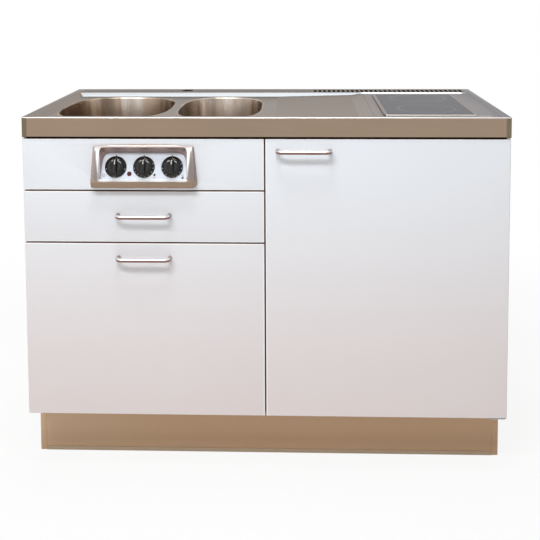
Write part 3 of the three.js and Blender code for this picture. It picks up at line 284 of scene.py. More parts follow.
# deep-drawn bowl: polished wall with broad soft upright bands of painted reflection, painted shade browner
# towards the floor, and the small bowl painted lighter as painted reflection
def makeBowlSteel(look):
    finish = Finish("bowlSteel", Metallic=1.0, Specular_Tint=(0.6, 0.56, 0.52, 1.0))
    x, y, z = finish.axes()
    reflectionBands = finish.noise((16.0, 12.0, 1.2), detail=1.5, roughness=0.4)
    fine = finish.noise((260.0, 200.0, 20.0), detail=2.0)
    deep = 1.0 - finish.rise(z, *look["deepZ"])
    small = finish.rise(x, *look["smallX"])
    # painted reflection: dark and bright upright bands about the wall's own tone
    stops = [(0.34, look["dark"]), (0.48, look["wall"]), (0.58, look["wall"]), (0.70, look["bright"])]
    colour = finish.node("ValToRGB", {"stops": stops}, {"Fac": reflectionBands * 0.94 + fine * 0.06})
    # painted shade deep in the bowl, and the small bowl painted lighter as painted reflection
    colour = finish.blend(deep * 0.6, colour, look["deep"])
    colour = finish.blend(small * 0.4, colour, look["small"])
    finish.feed("Base Color", colour)
    finish.feed("Roughness", fine * 0.08 + 0.2)
    finish.relief(fine, 0.00004, 0.3)
    return finish.material


# painted reflections, highlights and shade, then where each one lies: X out from the bezel's middle, Y from
# the worktop's front edge
bezelLook = {
    "arm": screen(150, 140, 135), "nose": screen(164, 141, 120), "edge": screen(112, 94, 84),
    "band": screen(252, 252, 253), "wall": screen(160, 138, 128), "corner": screen(172, 148, 138),
    "ledge": screen(255, 255, 255), "roughness": 0.26, "middle": -0.2985, "armZ": (0.736, 0.756),
    "spreadZ": (0.742, 0.815), "earX": (0.1205, 0.1250), "earZ": (0.806, 0.826), "innerX": 0.1085,
    "innerZ": (0.744, 0.756), "brimX": (0.1165, 0.1215), "brimZ": (0.8125, 0.823),
    "insideY": (-0.0035, -0.0005), "cornerX": (0.070, 0.112), "ledgeX": (0.108, 0.112),
    "ledgeY": (-0.0205, -0.0185), "ledgeZ": (0.7405, 0.7486),
}


# pressed satin steel round the dials, its tones painted light: a painted highlight along the top, the inner
# edges and the ledge, a tan painted reflection on the nose, painted shade on the ears' outer edges and a
# brown painted shade inside, made less metallic there
def makeBezelSteel(look):
    finish = Finish("bezelSteel", Metallic=1.0, Specular_Tint=(0.97, 0.97, 0.97, 1.0))
    x, y, z = finish.axes()
    across = (x - look["middle"]).size()
    lines = finish.noise((14.0, 420.0, 420.0), detail=3.0)
    cloud = finish.noise((18.0, 18.0, 18.0), detail=2.0)
    # painted reflection: tan on the nose below, grey on the arms above
    colour = finish.blend(finish.rise(z, *look["armZ"]), look["nose"], look["arm"])
    colour = finish.blend((lines * 0.5 + cloud * 0.5) * 0.5, colour, look["edge"])
    # painted highlights along the top and the inner edges of the arms, reaching further higher up
    high = finish.rise(z, *look["spreadZ"])
    earShade = finish.rise(across - high * 0.002, *look["earX"])
    reach = high * 0.0062 + look["innerX"]
    inner = (1.0 - finish.rise(across - reach, -0.001, 0.0035)) * (high * 0.5 + 0.5)
    inner = inner * finish.rise(z, *look["innerZ"])
    brimHighlight = finish.rise(z, *look["brimZ"]) * (1.0 - finish.rise(across, *look["brimX"]))
    colour = finish.blend(inner.most(brimHighlight), colour, look["band"])
    # painted shade on the outer edges of the ears
    colour = finish.blend(earShade * finish.rise(z, *look["earZ"]) * 0.5, colour, look["edge"])
    # painted shade inside the recess, lighter towards its corners, the walls there made less metallic
    inside = finish.rise(y, *fromFront(*look["insideY"]))
    corner = finish.rise(across + lines * 0.02, *look["cornerX"])
    wall = finish.blend(corner * 0.8, look["wall"], look["corner"])
    colour = finish.blend(inside, colour, wall)
    # painted highlight on the ledge below the dials, made rougher and less metallic
    ledge = finish.band(z, *look["ledgeZ"], 0.0007) * finish.rise(y, *fromFront(*look["ledgeY"]))
    ledge = ledge * (1.0 - finish.rise(across, *look["ledgeX"]))
    colour = finish.blend(ledge, colour, look["ledge"])
    finish.feed("Metallic", 1.0 - inside * 0.5 * (1.0 - ledge) - ledge * 0.7)
    finish.feed("Base Color", colour)
    finish.feed("Roughness", lines * 0.1 + ledge * 0.26 + (look["roughness"] - 0.05))
    finish.relief(lines, 0.00006, 0.3)
    return finish.material


handleSkin = {"heights": (0.656, 0.549, 0.8175), "top": screen(250, 250, 250), "under": screen(138, 104, 94),
              "post": screen(214, 206, 202), "upper": (0.0012, 0.008), "barY": (-0.0200, -0.0120)}


# satin nickel on the bow handles: a white painted highlight along the upper half of each bar, brown painted
# shade underneath, and the posts painted partly lit
def makeHandleSteel(look):
    finish = Finish("handleSteel", Metallic=1.0, Specular_Tint=(0.8, 0.76, 0.74, 1.0))
    x, y, z = finish.axes()
    lines = finish.noise((700.0, 60.0, 700.0), detail=2.0)
    low, high = look["upper"]
    # painted highlight on the upper half of each bar, painted shade below it
    upper = [finish.band(z, height + low, height + high, 0.0012) for height in look["heights"]]
    lit = upper[0].most(upper[1]).most(upper[2])
    bar = 1.0 - finish.rise(y, *fromFront(*look["barY"]))
    colour = finish.blend(lit, look["under"], look["top"])
    colour = finish.blend(bar, finish.blend(lit * 0.6, look["under"], look["post"]), colour)
    finish.feed("Base Color", finish.blend(lines * 0.16, colour, look["under"]))
    finish.feed("Roughness", lines * 0.12 + 0.24)
    finish.relief(lines, 0.00005, 0.3)
    return finish.material


# plain brushed or satin metal for fittings
def makeMetal(name, colour, roughness, brush=(60.0, 900.0, 900.0), strength=0.3, worn=None):
    finish = Finish(name, Metallic=1.0)
    lines = finish.noise(brush, detail=2.0)
    cloud = finish.noise((30.0, 30.0, 30.0), detail=2.0)
    shadeTwo = worn or tuple(0.78 * c for c in colour)
    finish.feed("Base Color", finish.blend(lines * 0.5 + cloud * 0.5, colour, shadeTwo))
    finish.feed("Roughness", lines * 0.15 + (roughness - 0.07))
    finish.relief(lines, 0.00008, strength)
    return finish.material


# moulded or lacquered surface with a fine even skin
def makeSkin(name, colour, other, roughness, pitch=700.0, depth=0.00006, **fixed):
    finish = Finish(name, **fixed)
    skin = finish.noise((pitch, pitch, pitch), detail=2.0)
    cloud = finish.noise((11.0, 11.0, 11.0), detail=2.0)
    finish.feed("Base Color", finish.blend(cloud * 0.7 + skin * 0.3, colour, other))
    finish.feed("Roughness", skin * 0.12 + (roughness - 0.06))
    finish.relief(skin, depth, 0.4)
    return finish.material


# the last five say where the painted fade, the painted highlights beside the two gaps across, along the top
# and beside the gap between, and the cut edges lie
frontLook = {"top": screen(229, 234, 240), "foot": screen(222, 212, 211), "cloud": screen(232, 228, 226),
             "edge": screen(134, 92, 72), "rim": screen(252, 252, 252), "fadeZ": (0.16, 0.86),
             "gapsZ": ((0.7132, 0.7208), (0.5822, 0.5898)), "topZ": (0.8432, 0.8446),
             "gapX": (-0.0042, 0.0042), "cutY": (0.0037, 0.0187)}


# satin white laminate, painted darker and warmer towards the foot as painted shade, with painted highlights
# along the edges beside the gaps; its cut edges are banded in brown, darkened as painted shade for the gaps
def makeFrontWhite(look):
    finish = Finish("frontWhite", Coat_Roughness=0.35, Coat_Weight=0.12)
    x, y, z = finish.axes()
    skin = finish.noise((620.0, 620.0, 620.0), detail=3.0)
    cloud = finish.noise((3.0, 3.0, 2.0), detail=2.0)
    # painted shade: the fronts darker and warmer towards the foot
    colour = finish.blend(finish.rise(z, *look["fadeZ"]), look["foot"], look["top"])
    colour = finish.blend(cloud * 0.25, colour, look["cloud"])
    # painted highlights along the edges beside the gaps and along the top
    upper, lower = [finish.band(z, *span, 0.0008) for span in look["gapsZ"]]
    gapHighlight = upper.most(lower) * (x < 0.0)
    gapHighlight = gapHighlight.most(finish.rise(z, *look["topZ"])).most(finish.band(x, *look["gapX"], 0.0008))
    colour = finish.blend(gapHighlight, colour, look["rim"])
    # brown edge banding, its tone darkened as painted shade for the gaps that show it
    cut = finish.band(y, *fromFront(*look["cutY"]), 0.0003)
    colour = finish.blend(cut, colour, look["edge"])
    finish.feed("Base Color", colour)
    finish.feed("Roughness", skin * 0.14 + 0.34)
    finish.relief(skin, 0.00005, 0.35)
    return finish.material


carcassLook = {"face": screen(226, 226, 224), "other": screen(218, 217, 214), "edge": screen(136, 98, 80),
               "edgeY": (0.0248, 0.0254)}


# white melamine board whose front edges carry a thin brown band, darkened as painted shade for the gaps they
# show through
def makeCarcass(look):
    finish = Finish("carcassWhite")
    x, y, z = finish.axes()
    skin = finish.noise((700.0, 700.0, 700.0), detail=2.0)
    cloud = finish.noise((11.0, 11.0, 11.0), detail=2.0)
    colour = finish.blend(cloud * 0.7 + skin * 0.3, look["face"], look["other"])
    # brown front band, darkened as painted shade for the gaps
    edge = 1.0 - finish.rise(y, *fromFront(*look["edgeY"]))
    finish.feed("Base Color", finish.blend(edge, colour, look["edge"]))
    finish.feed("Roughness", skin * 0.12 + 0.39)
    finish.relief(skin, 0.00006, 0.4)
    return finish.material


plinthLook = {"face": screen(204, 169, 131), "light": screen(212, 182, 148), "dark": screen(194, 158, 122),
              "low": screen(172, 140, 108), "lightX": (-0.60, -0.20), "lowZ": (0.006, 0.075)}


# tan satin foil on the plinth boards, painted lighter towards the left end where the light falls, and painted
# shade along the foot
def makePlinthTan(look):
    finish = Finish("plinthTan")
    x, y, z = finish.axes()
    skin = finish.noise((300.0, 300.0, 300.0), detail=3.0)
    cloud = finish.noise((2.2, 2.0, 6.0), detail=3.0)
    # painted light: lighter towards the left end
    colour = finish.blend(finish.rise(x, *look["lightX"]), look["light"], look["face"])
    colour = finish.blend(cloud * 0.5 + skin * 0.1, colour, look["dark"])
    # painted shade along the foot
    colour = finish.blend((1.0 - finish.rise(z, *look["lowZ"])) * 0.6, colour, look["low"])
    finish.feed("Base Color", colour)
    finish.feed("Roughness", skin * 0.16 + 0.32)
    finish.relief(skin, 0.00005, 0.3)
    return finish.material


zoneLook = {"front": (0.413, 0.151, 0.0745), "rear": (0.417, 0.370, 0.0775), "line": 0.0011, "inner": 0.955,
            "glass": screen(49, 47, 54), "speckle": screen(88, 87, 92), "print": screen(106, 103, 109)}


# near-black ceramic glass with a fine speckle and a printed ring round each zone
def makeCeramicGlass(look):
    finish = Finish("ceramicGlass", Roughness=0.3, Specular_IOR_Level=0.04)
    x, y, z = finish.axes()
    speckle = finish.noise((1500.0, 1500.0, 1500.0), detail=1.0)
    colour = finish.blend(finish.rise(speckle, 0.56, 0.66), look["glass"], look["speckle"])
    for centreX, centreY, radius in (look["front"], look["rear"]):
        across = x - centreX
        along = y - (rowShift + centreY)
        reach = (across * across + along * along).root()
        ring = finish.band(reach, radius - look["line"], radius + look["line"], 0.0003)
        inner = radius * look["inner"]
        inner = finish.band(reach, inner - 0.0004, inner + 0.0004, 0.0002)
        colour = finish.blend(ring.most(inner * 0.8), colour, look["print"])
    finish.feed("Base Color", colour)
    finish.relief(speckle, 0.00001, 0.2)
    return finish.material


# pressed chips in glue, for the worktop's core
def makeChipboard():
    finish = Finish("chipboard", Roughness=0.8)
    long = finish.stretched((1.0, 1.0, 1.6))
    chips = finish.node("TexVoronoi", sockets={"Vector": long, "Scale": 240.0}, output=1)
    dust = finish.noise((900.0, 900.0, 900.0), detail=3.0)
    tone = finish.node("RGBToBW", sockets={"Color": chips})
    stops = [(0.1, screen(138, 104, 66)), (0.5, screen(190, 156, 108)), (0.9, screen(216, 188, 142))]
    colour = finish.node("ValToRGB", {"stops": stops}, {"Fac": tone * 0.8 + dust * 0.2})
    finish.feed("Base Color", colour)
    finish.relief(tone * 0.6 + dust, 0.0004, 0.6)
    return finish.material


# pressed brown fibre with its smooth painted face
def makeHardboard():
    finish = Finish("hardboard")
    fibre = finish.noise((380.0, 60.0, 380.0), detail=4.0, roughness=0.7)
    cloud = finish.noise((5.0, 5.0, 5.0), detail=2.0)
    colour = finish.blend(fibre * 0.7 + cloud * 0.3, screen(188, 180, 168), screen(226, 222, 214))
    finish.feed("Base Color", colour)
    finish.feed("Roughness", fibre * 0.2 + 0.5)
    finish.relief(fibre, 0.00015, 0.6)
    return finish.material


# bonded mineral wool, for the heaters' cups
def makeInsulation():
    finish = Finish("insulation", Roughness=0.9)
    wool = finish.noise((420.0, 420.0, 120.0), detail=4.0, roughness=0.7)
    finish.feed("Base Color", finish.blend(wool, screen(196, 190, 176), screen(232, 229, 220)))
    finish.relief(wool, 0.0006, 0.8)
    return finish.material


lampLook = {"lens": screen(104, 8, 11), "deep": screen(44, 2, 4)}


# red moulded lens with a ribbed inside
def makeLampRed(look):
    finish = Finish("lampRed", Roughness=0.16, Specular_IOR_Level=0.35)
    ribs = finish.noise((1400.0, 200.0, 1400.0), detail=1.0)
    finish.feed("Base Color", finish.blend(ribs, look["lens"], look["deep"]))
    finish.relief(ribs, 0.0001, 0.3)
    return finish.material


# faintly green glass, see-through by its alpha
def makeShelfGlass():
    finish = Finish("shelfGlass", Roughness=0.06)
    faint = finish.noise((14.0, 14.0, 14.0), detail=2.0)
    finish.feed("Base Color", finish.blend(faint, screen(198, 218, 212), screen(214, 230, 225)))
    finish.feed("Alpha", 0.42 + faint * 0.1)
    return finish.material


materials = {
    "worktop_steel": makeWorktopSteel(steelLook),
    "bowl_steel": makeBowlSteel(bowlLook),
    "satin_steel": makeMetal("satinSteel", screen(196, 194, 196), 0.3),
    "zinc_sheet": makeMetal("zincSheet", screen(182, 184, 188), 0.42, brush=(90.0, 90.0, 90.0)),
    "chipboard": makeChipboard(),
    "front_white": makeFrontWhite(frontLook),
    "carcass_white": makeCarcass(carcassLook),
    "hardboard": makeHardboard(),
    "plinth_tan": makePlinthTan(plinthLook),
    "seal_strip": makeSkin("sealStrip", screen(176, 156, 132), screen(162, 142, 118), 0.4),
    "ceramic_glass": makeCeramicGlass(zoneLook),
    "dial_white": makeSkin("dialWhite", screen(219, 225, 236), screen(214, 219, 229), 0.32),
    "knob_black": makeSkin("knobBlack", screen(13, 13, 12), screen(9, 9, 9), 0.14, 500.0, 0.00002,
                           Specular_IOR_Level=0.4),
    "lamp_red": makeLampRed(lampLook),
    "bakelite": makeSkin("bakelite", screen(44, 38, 34), screen(30, 26, 24), 0.4),
    "insulation": makeInsulation(),
    "white_plastic": makeSkin("whitePlastic", screen(232, 233, 232), screen(226, 227, 225), 0.36),
    "gasket_grey": makeSkin("gasketGrey", screen(176, 178, 180), screen(164, 166, 168), 0.6),
    "black_enamel": makeSkin("blackEnamel", screen(30, 30, 32), screen(22, 22, 24), 0.35),
    "shelf_glass": makeShelfGlass(),
    "bezel": makeBezelSteel(bezelLook),
    "handle": makeHandleSteel(handleSkin),
    # near-black seal skin, dark enough to stand in for the shade below the apron
    "shadeSealBlack": makeSkin("shadeSealBlack", screen(12, 8, 8), screen(7, 5, 5), 0.6, Specular_IOR_Level=0.1),
}
printLook = {"markPale": ((232, 230, 216), (214, 211, 196)), "markGold": ((178, 156, 96), (156, 134, 78)),
             "markDark": ((52, 30, 34), (40, 22, 26)), "markGrey": ((152, 154, 174), (142, 144, 164))}
for name, (ink, thin) in printLook.items():
    materials[name] = makeSkin(name, screen(*ink), screen(*thin), 0.5, Specular_IOR_Level=0.2)
print("finishes made:", len(materials))

# the floor, and lamps from above the front as in the photograph
stageLook = {"floor": 0.86, "white": 0.87, "clear": (0.9, 2.2), "world": 0.33, "tint": (1.0, 0.90, 0.83)}
lampSet = {
    "key": {"power": 104.0, "size": (2.8, 0.4), "place": (-0.8, -3.05, 3.78), "aim": (0.0, -0.2, 0.5),
            "colour": (0.94, 0.975, 1.0)},
    "ceiling": {"power": 40.0, "size": (2.8, 1.7), "place": (-0.1, 0.75, 3.5), "aim": (-0.1, 0.45, 0.9),
                "colour": (0.93, 0.97, 1.0)},
    "down": {"power": 22.0, "size": (0.8, 0.5), "place": (-0.15, -1.12, 3.5), "aim": (-0.1, -0.3, 0.6),
             "colour": (0.9, 0.97, 1.0)},
    "fill": {"power": 10.0, "size": (2.2, 2.2), "place": (-2.3, -3.5, 2.4), "aim": (0.0, -0.2, 0.5),
             "colour": (1.0, 0.98, 0.96)},
}


# pale floor; what the camera or a mirror sees of it is lifted towards the white of the backdrop
def makeFloor(look):
    bpy.ops.mesh.primitive_grid_add(x_subdivisions=4, y_subdivisions=4, size=40.0, location=(0.0, 0.0, 0.0))
    floor = bpy.context.object
    floor.name = "floor"
    finish = Finish("floorPale", Roughness=0.9)
    grey = look["floor"]
    faint = finish.noise((2.0, 2.0, 2.0), detail=2.0)
    finish.feed("Base Color", finish.blend(faint, (grey, grey, grey), (grey - 0.01, grey - 0.01, grey)))
    seen = finish.node("LightPath").most(finish.node("LightPath", output="Is Glossy Ray"))
    x, y, z = finish.axes()
    away = finish.rise((x * x + y * y).root(), *look["clear"])
    glow = finish.node("Emission", sockets={"Color": (1.0, 1.0, 1.0, 1.0), "Strength": 1.0})
    lit = Wire(finish.tree, finish.shader.outputs[0])
    lifted = seen * (away * (1.0 - look["white"]) + look["white"])
    mixed = finish.node("MixShader", sockets={0: lifted, 1: lit, 2: glow})
    finish.tree.links.new(mixed.socket, finish.tree.nodes["Material Output"].inputs["Surface"])
    floor.data.materials.append(finish.material)
    return floor


def makeLamp(name, look):
    light = bpy.data.lights.new(name, "AREA")
    light.energy = look["power"]
    light.shape = "RECTANGLE"
    light.size, light.size_y = look["size"]
    light.color = look["colour"]
    lamp = bpy.data.objects.new(name, light)
    bpy.context.scene.collection.objects.link(lamp)
    lamp.location = look["place"]
    lamp.rotation_euler = (lamp.location - Vector(look["aim"])).to_track_quat("Z", "Y").to_euler()
    return lamp


def makeWorld(look):
    world = bpy.data.worlds.new("studio")
    bpy.context.scene.world = world
    world.use_nodes = True
    tree = world.node_tree
    path = tree.nodes.new("ShaderNodeLightPath")
    seen = Wire(tree, path.outputs["Is Camera Ray"]).most(Wire(tree, path.outputs["Is Glossy Ray"]))
    seen = seen.most(Wire(tree, path.outputs["Is Transmission Ray"]))
    level = seen * (1.0 - look["world"]) + look["world"]
    tint = tree.nodes.new("ShaderNodeMix")
    tint.data_type = "RGBA"
    tint.inputs[6].default_value = (*look["tint"], 1.0)
    tint.inputs[7].default_value = (1.0, 1.0, 1.0, 1.0)
    tree.links.new(seen.socket, tint.inputs[0])
    backdrop = tree.nodes["Background"]
    tree.links.new(tint.outputs[2], backdrop.inputs["Color"])
    tree.links.new(level.socket, backdrop.inputs["Strength"])


bpy.ops.object.select_all(action="DESELECT")
makeFloor(stageLook)
makeWorld(stageLook)
for name, look in lampSet.items():
    makeLamp(name, look)
print("camera, floor and lamps set")

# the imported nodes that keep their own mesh, by finish
nodeFinish = {
    "worktop_steel": "worktop hob_frame",
    "bowl_steel": "bowl_large bowl_small",
    "satin_steel": "control_bezel waste_large waste_small spindle_timer spindle_front_zone spindle_rear_zone "
                   "drawer_handle pullout_handle fridge_handle",
    "zinc_sheet": "hob_tray drawer_runner_left drawer_runner_right pullout_runner_left pullout_runner_right "
                  "hinge_upper hinge_lower",
    "chipboard": "worktop_core",
    "front_white": "control_front drawer_front pullout_front fridge_door_panel",
    "carcass_white": "side_left side_middle side_right base_left base_right rail_front rail_back",
    "hardboard": "back_panel",
    "plinth_tan": "plinth_front plinth_left plinth_right plinth_back",
    "seal_strip": "plinth_seal",
    "ceramic_glass": "hob_glass",
    "dial_white": "dial_plate",
    "knob_black": "knob_timer knob_front_zone knob_rear_zone",
    "lamp_red": "pilot_lamp",
    "bakelite": "timer_switch regulator_front_zone regulator_rear_zone",
    "insulation": "heater_front heater_rear",
    "white_plastic": "waste_pipe bottle_trap drawer_box pullout_box fridge_cabinet fridge_inner_door",
    "gasket_grey": "fridge_gasket",
    "black_enamel": "compressor condenser",
    "shelf_glass": "fridge_shelf_lower fridge_shelf_upper",
}
bodyOf = {node: body for body, nodes in frame["record"]["behaviour"]["bodies"].items() for node in nodes}

for slot, names in nodeFinish.items():
    for name in names.split():
        node = frame["nodes"][name]
        node.data.materials.clear()
        node.data.materials.append(materials[slot])


def deselect():
    if bpy.context.object and bpy.context.object.mode != "OBJECT":
        bpy.ops.object.mode_set(mode="OBJECT")
    bpy.ops.object.select_all(action="DESELECT")


def pick(piece):
    deselect()
    piece.select_set(True)
    bpy.context.view_layer.objects.active = piece
    return piece


# edit mode, with the whole mesh selected
def editAll(piece):
    pick(piece)
    bpy.ops.object.mode_set(mode="EDIT")
    bpy.ops.mesh.select_all(action="SELECT")


def leaveEdit():
    bpy.ops.object.mode_set(mode="OBJECT")


def extrudeUp(height):
    bpy.ops.mesh.extrude_region_move(TRANSFORM_OT_translate={"value": (0.0, 0.0, height)})


# turns the faces of a closed mesh outwards
def faceOut(piece):
    editAll(piece)
    bpy.ops.mesh.normals_make_consistent(inside=False)
    leaveEdit()


# selects, in edit mode, the faces, edges or vertices that a test on their bmesh element lets through
def select(piece, kind, test):
    pick(piece)
    bpy.ops.object.mode_set(mode="EDIT")
    bpy.ops.mesh.select_mode(type={"faces": "FACE", "edges": "EDGE", "verts": "VERT"}[kind])
    bpy.ops.mesh.select_all(action="DESELECT")
    mesh = bmesh.from_edit_mesh(piece.data)
    count = 0
    for part in getattr(mesh, kind):
        if test(part):
            part.select_set(True)
            count += 1
    mesh.select_flush_mode()
    bmesh.update_edit_mesh(piece.data)
    return count


def middle(edge):
    return (edge.verts[0].co + edge.verts[1].co) / 2.0


def sharp(edge, degrees=20.0):
    return len(edge.link_faces) == 2 and edge.calc_face_angle(0.0) > math.radians(degrees)


# names a new piece, gives it its finish and says which body it rides on
def settle(piece, name, body, slot, replaced=(), angle=35.0, skin=None):
    pick(piece)
    piece.name = name
    bpy.ops.object.transform_apply(location=True, rotation=True, scale=True)
    bpy.ops.object.shade_smooth_by_angle(angle=math.radians(angle))
    piece.data.materials.clear()
    piece.data.materials.append(materials[skin or slot])
    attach(piece, body)
    if replaced:
        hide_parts(*replaced)
    return piece


# a merged copy of a node's mesh, its flat faces made whole
def lift(nodeName):
    source = frame["nodes"][nodeName]
    piece = bpy.data.objects.new("lifted", source.data.copy())
    bpy.context.scene.collection.objects.link(piece)
    editAll(piece)
    bpy.ops.mesh.remove_doubles(threshold=0.000002)
    bpy.ops.mesh.dissolve_limited(angle_limit=math.radians(0.6))
    leaveEdit()
    return piece


def finishModifiers(piece):
    pick(piece)
    for modifier in list(piece.modifiers):
        bpy.ops.object.modifier_apply(modifier=modifier.name)


def roundEdges(piece, width, segments=2, angle=30.0):
    bevel = piece.modifiers.new("roundedEdges", "BEVEL")
    bevel.width = width
    bevel.segments = segments
    bevel.limit_method = "ANGLE"
    bevel.angle_limit = math.radians(angle)
    bevel.miter_outer = "MITER_ARC"
    finishModifiers(piece)


# boards, sheet parts and fittings whose shape is right, with their edges broken as the real ones are
softened = {
    "front_white": (0.0009, 3, "control_front drawer_front pullout_front fridge_door_panel"),
    "carcass_white": (0.0006, 2, "side_left side_middle side_right base_left base_right "
                                 "rail_front rail_back"),
    "plinth_tan": (0.0007, 2, "plinth_front plinth_left plinth_right plinth_back"),
    "seal_strip": (0.0003, 2, "plinth_seal"),
}
for slot, (width, segments, names) in softened.items():
    for name in names.split():
        board = lift(name)
        roundEdges(board, width, segments)
        settle(board, name + "_board", bodyOf[name], slot, replaced=[name])
print("boards and fronts")

topLook = {"edgeRadius": 0.0020, "panRadius": 0.0030, "lip": 0.0030, "roll": 0.0026, "deck": 0.888,
           "rimWidth": 0.0021, "panX": 0.5835, "panY": (0.012, 0.521), "hobX": (0.301, 0.523),
           "hobY": (0.05, 0.462)}
bowlSizes = {"bowl_large": (-0.411, 0.145), "bowl_small": (-0.129, 0.110)}
bowlShape = {"centreY": rowShift + 0.277, "halfLength": 0.205, "power": 3.0, "depth": 0.150, "draft": 0.006,
             "floorRadius": 0.042, "outletY": 0.095, "outlet": 0.023, "sheet": 0.0012, "sides": 112}


def bowlReach(x, y, centreX, halfWidth):
    across = abs((x - centreX) / halfWidth) ** bowlShape["power"]
    along = abs((y - bowlShape["centreY"]) / bowlShape["halfLength"]) ** bowlShape["power"]
    return (across + along) ** (1.0 / bowlShape["power"])


# the pressed steel top: its rim, pans and openings rounded, and room made for the bowls' rolled edges
def makeWorktop(look):
    top = lift("worktop")
    middleY, halfLength = bowlShape["centreY"], bowlShape["halfLength"]
    for centreX, halfWidth in bowlSizes.values():
        for vertex in top.data.vertices:
            place = vertex.co
            onDeck = abs(place.z - look["deck"]) < 0.002
            if onDeck and 0.97 < bowlReach(place.x, place.y, centreX, halfWidth) < 1.03:
                place.x = centreX + (place.x - centreX) * (halfWidth + look["lip"]) / halfWidth
                along = (halfLength + look["lip"]) / halfLength
                place.y = middleY + (place.y - middleY) * along
    low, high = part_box("worktop")
    rim = look["rimWidth"]
    panFront, panBack = fromFront(*look["panY"])
    hobFront, hobBack = fromFront(*look["hobY"])

    def onRim(edge):
        return sharp(edge) and all(v.co.z > high.z - 0.0002 for v in edge.verts) and outer(middle(edge))

    def outer(point):
        return abs(point.x) > high.x - rim or point.y < low.y + rim or point.y > high.y - rim

    select(top, "edges", onRim)
    bpy.ops.mesh.bevel(offset=look["edgeRadius"], segments=4, profile=0.5, affect="EDGES")

    def onPan(edge):
        point = middle(edge)
        steps = sharp(edge, 8.0) and look["deck"] - 0.0004 < point.z < high.z + 0.0002
        inside = abs(point.x) < look["panX"] and panFront < point.y < panBack
        bowls = any(bowlReach(point.x, point.y, c, h) < 1.09 for c, h in bowlSizes.values())
        hob = look["hobX"][0] < point.x < look["hobX"][1] and hobFront < point.y < hobBack
        both = all(v.co.z > look["deck"] - 0.0004 for v in edge.verts)
        return steps and inside and both and not bowls and not hob

    print("pan edges", select(top, "edges", onPan))
    bpy.ops.mesh.bevel(offset=look["panRadius"], segments=3, profile=0.5, affect="EDGES", clamp_overlap=True)
    leaveEdit()
    return settle(top, "worktop_pressed", "cabinet", "worktop_steel", ["worktop"], angle=28.0)


# one deep-drawn bowl: a ring at the rolled lip carried down the wall to the floor and in to the outlet
def makeBowl(node, centreX, halfWidth, look):
    shape = bowlShape
    profile = [(look["lip"] + 0.0012, look["deck"] + 0.00004), (look["lip"] - 0.0004, look["deck"] + 0.0003)]
    for step in range(1, 7):
        turn = math.pi / 2 * step / 6
        profile.append((look["roll"] * (1.0 - math.sin(turn)),
                        look["deck"] + 0.0003 - look["roll"] * (1.0 - math.cos(turn))))
    floorZ = look["deck"] - 0.0015 - shape["depth"]
    for step in range(8, -1, -1):
        turn = math.pi / 2 * step / 8
        profile.append((-shape["draft"] - shape["floorRadius"] * (1.0 - math.sin(turn)),
                        floorZ + shape["floorRadius"] * (1.0 - math.cos(turn))))
    bpy.ops.mesh.primitive_circle_add(vertices=shape["sides"], radius=1.0, location=(0.0, 0.0, 0.0))
    piece = bpy.context.object
    editAll(piece)
    for _ in profile:
        extrudeUp(-0.5)
    leaveEdit()
    for vertex in piece.data.vertices:
        ring = round(-vertex.co.z / 0.5)
        turn = math.atan2(vertex.co.y, vertex.co.x)
        c, s = math.cos(turn), math.sin(turn)
        if ring < len(profile):
            grow, height = profile[ring]
            reach = (abs(c) ** shape["power"] + abs(s) ** shape["power"]) ** (-1.0 / shape["power"])
            vertex.co = (centreX + (halfWidth + grow) * reach * c,
                         shape["centreY"] + (shape["halfLength"] + grow) * reach * s, height)
        else:
            vertex.co = (centreX + shape["outlet"] * c,
                         shape["centreY"] + shape["outletY"] + shape["outlet"] * s, floorZ)
    faceOut(piece)
    up = sum(face.normal.z * face.area for face in piece.data.polygons)
    if up < 0.0:
        piece.data.flip_normals()
    wall = piece.modifiers.new("sheet", "SOLIDIFY")
    wall.thickness = shape["sheet"]
    wall.offset = -1.0
    finishModifiers(piece)
    return settle(piece, node + "_drawn", "cabinet", "bowl_steel", [node], angle=50.0)


makeWorktop(topLook)
for node, (centreX, halfWidth) in bowlSizes.items():
    makeBowl(node, centreX, halfWidth, topLook)
print("worktop and bowls")

plateTilt = math.atan2(0.021, 0.060)
dialPlace = {"x": -0.2985, "y": rowShift - 0.001 + 0.027 * math.tan(plateTilt), "z": 0.775}
dials = {"knob_timer": -0.070, "knob_front_zone": 0.0, "knob_rear_zone": 0.070}


# puts a piece drawn flat, +Z out of the dial plate and +Y up it, where the plate carries it
def ontoPlate(piece, across=0.0):
    spot = Matrix.Translation((dialPlace["x"] + across, dialPlace["y"], dialPlace["z"]))
    piece.matrix_world = spot @ Matrix.Rotation(math.pi / 2 - plateTilt, 4, "X")


# a disc carried through each (radius, height) step, its last face left flat
def turnPiece(profile, sides=48):
    bpy.ops.object.select_all(action="DESELECT")
    bpy.ops.mesh.primitive_circle_add(vertices=sides, radius=profile[0][0], fill_type="NGON",
                                      location=(0.0, 0.0, profile[0][1]))
    piece = bpy.context.object
    bpy.ops.object.transform_apply(location=True)
    editAll(piece)
    for (radius, height), (nextRadius, nextHeight) in zip(profile, profile[1:]):
        extrudeUp(nextHeight - height)
        ratio = nextRadius / radius
        bpy.ops.transform.resize(value=(ratio, ratio, 1.0), center_override=(0.0, 0.0, nextHeight))
    faceOut(piece)
    return piece


def joinPieces(first, *others):
    pick(first)
    for other in others:
        other.select_set(True)
    bpy.ops.object.join()
    return first


def startBlock(low, high):
    bpy.ops.object.select_all(action="DESELECT")
    centre = [(a + b) / 2 for a, b in zip(low, high)]
    bpy.ops.mesh.primitive_cube_add(size=1.0, location=centre)
    piece = bpy.context.object
    piece.scale = [b - a for a, b in zip(low, high)]
    bpy.ops.object.transform_apply(location=True, rotation=True, scale=True)
    return piece


knobLook = {"skirt": 0.0268, "hub": 0.0208, "shoulder": 0.0112, "bar": 0.0054, "barTop": 0.0188,
            "barReach": 0.0186, "slant": 0.0065, "dip": 0.0007}


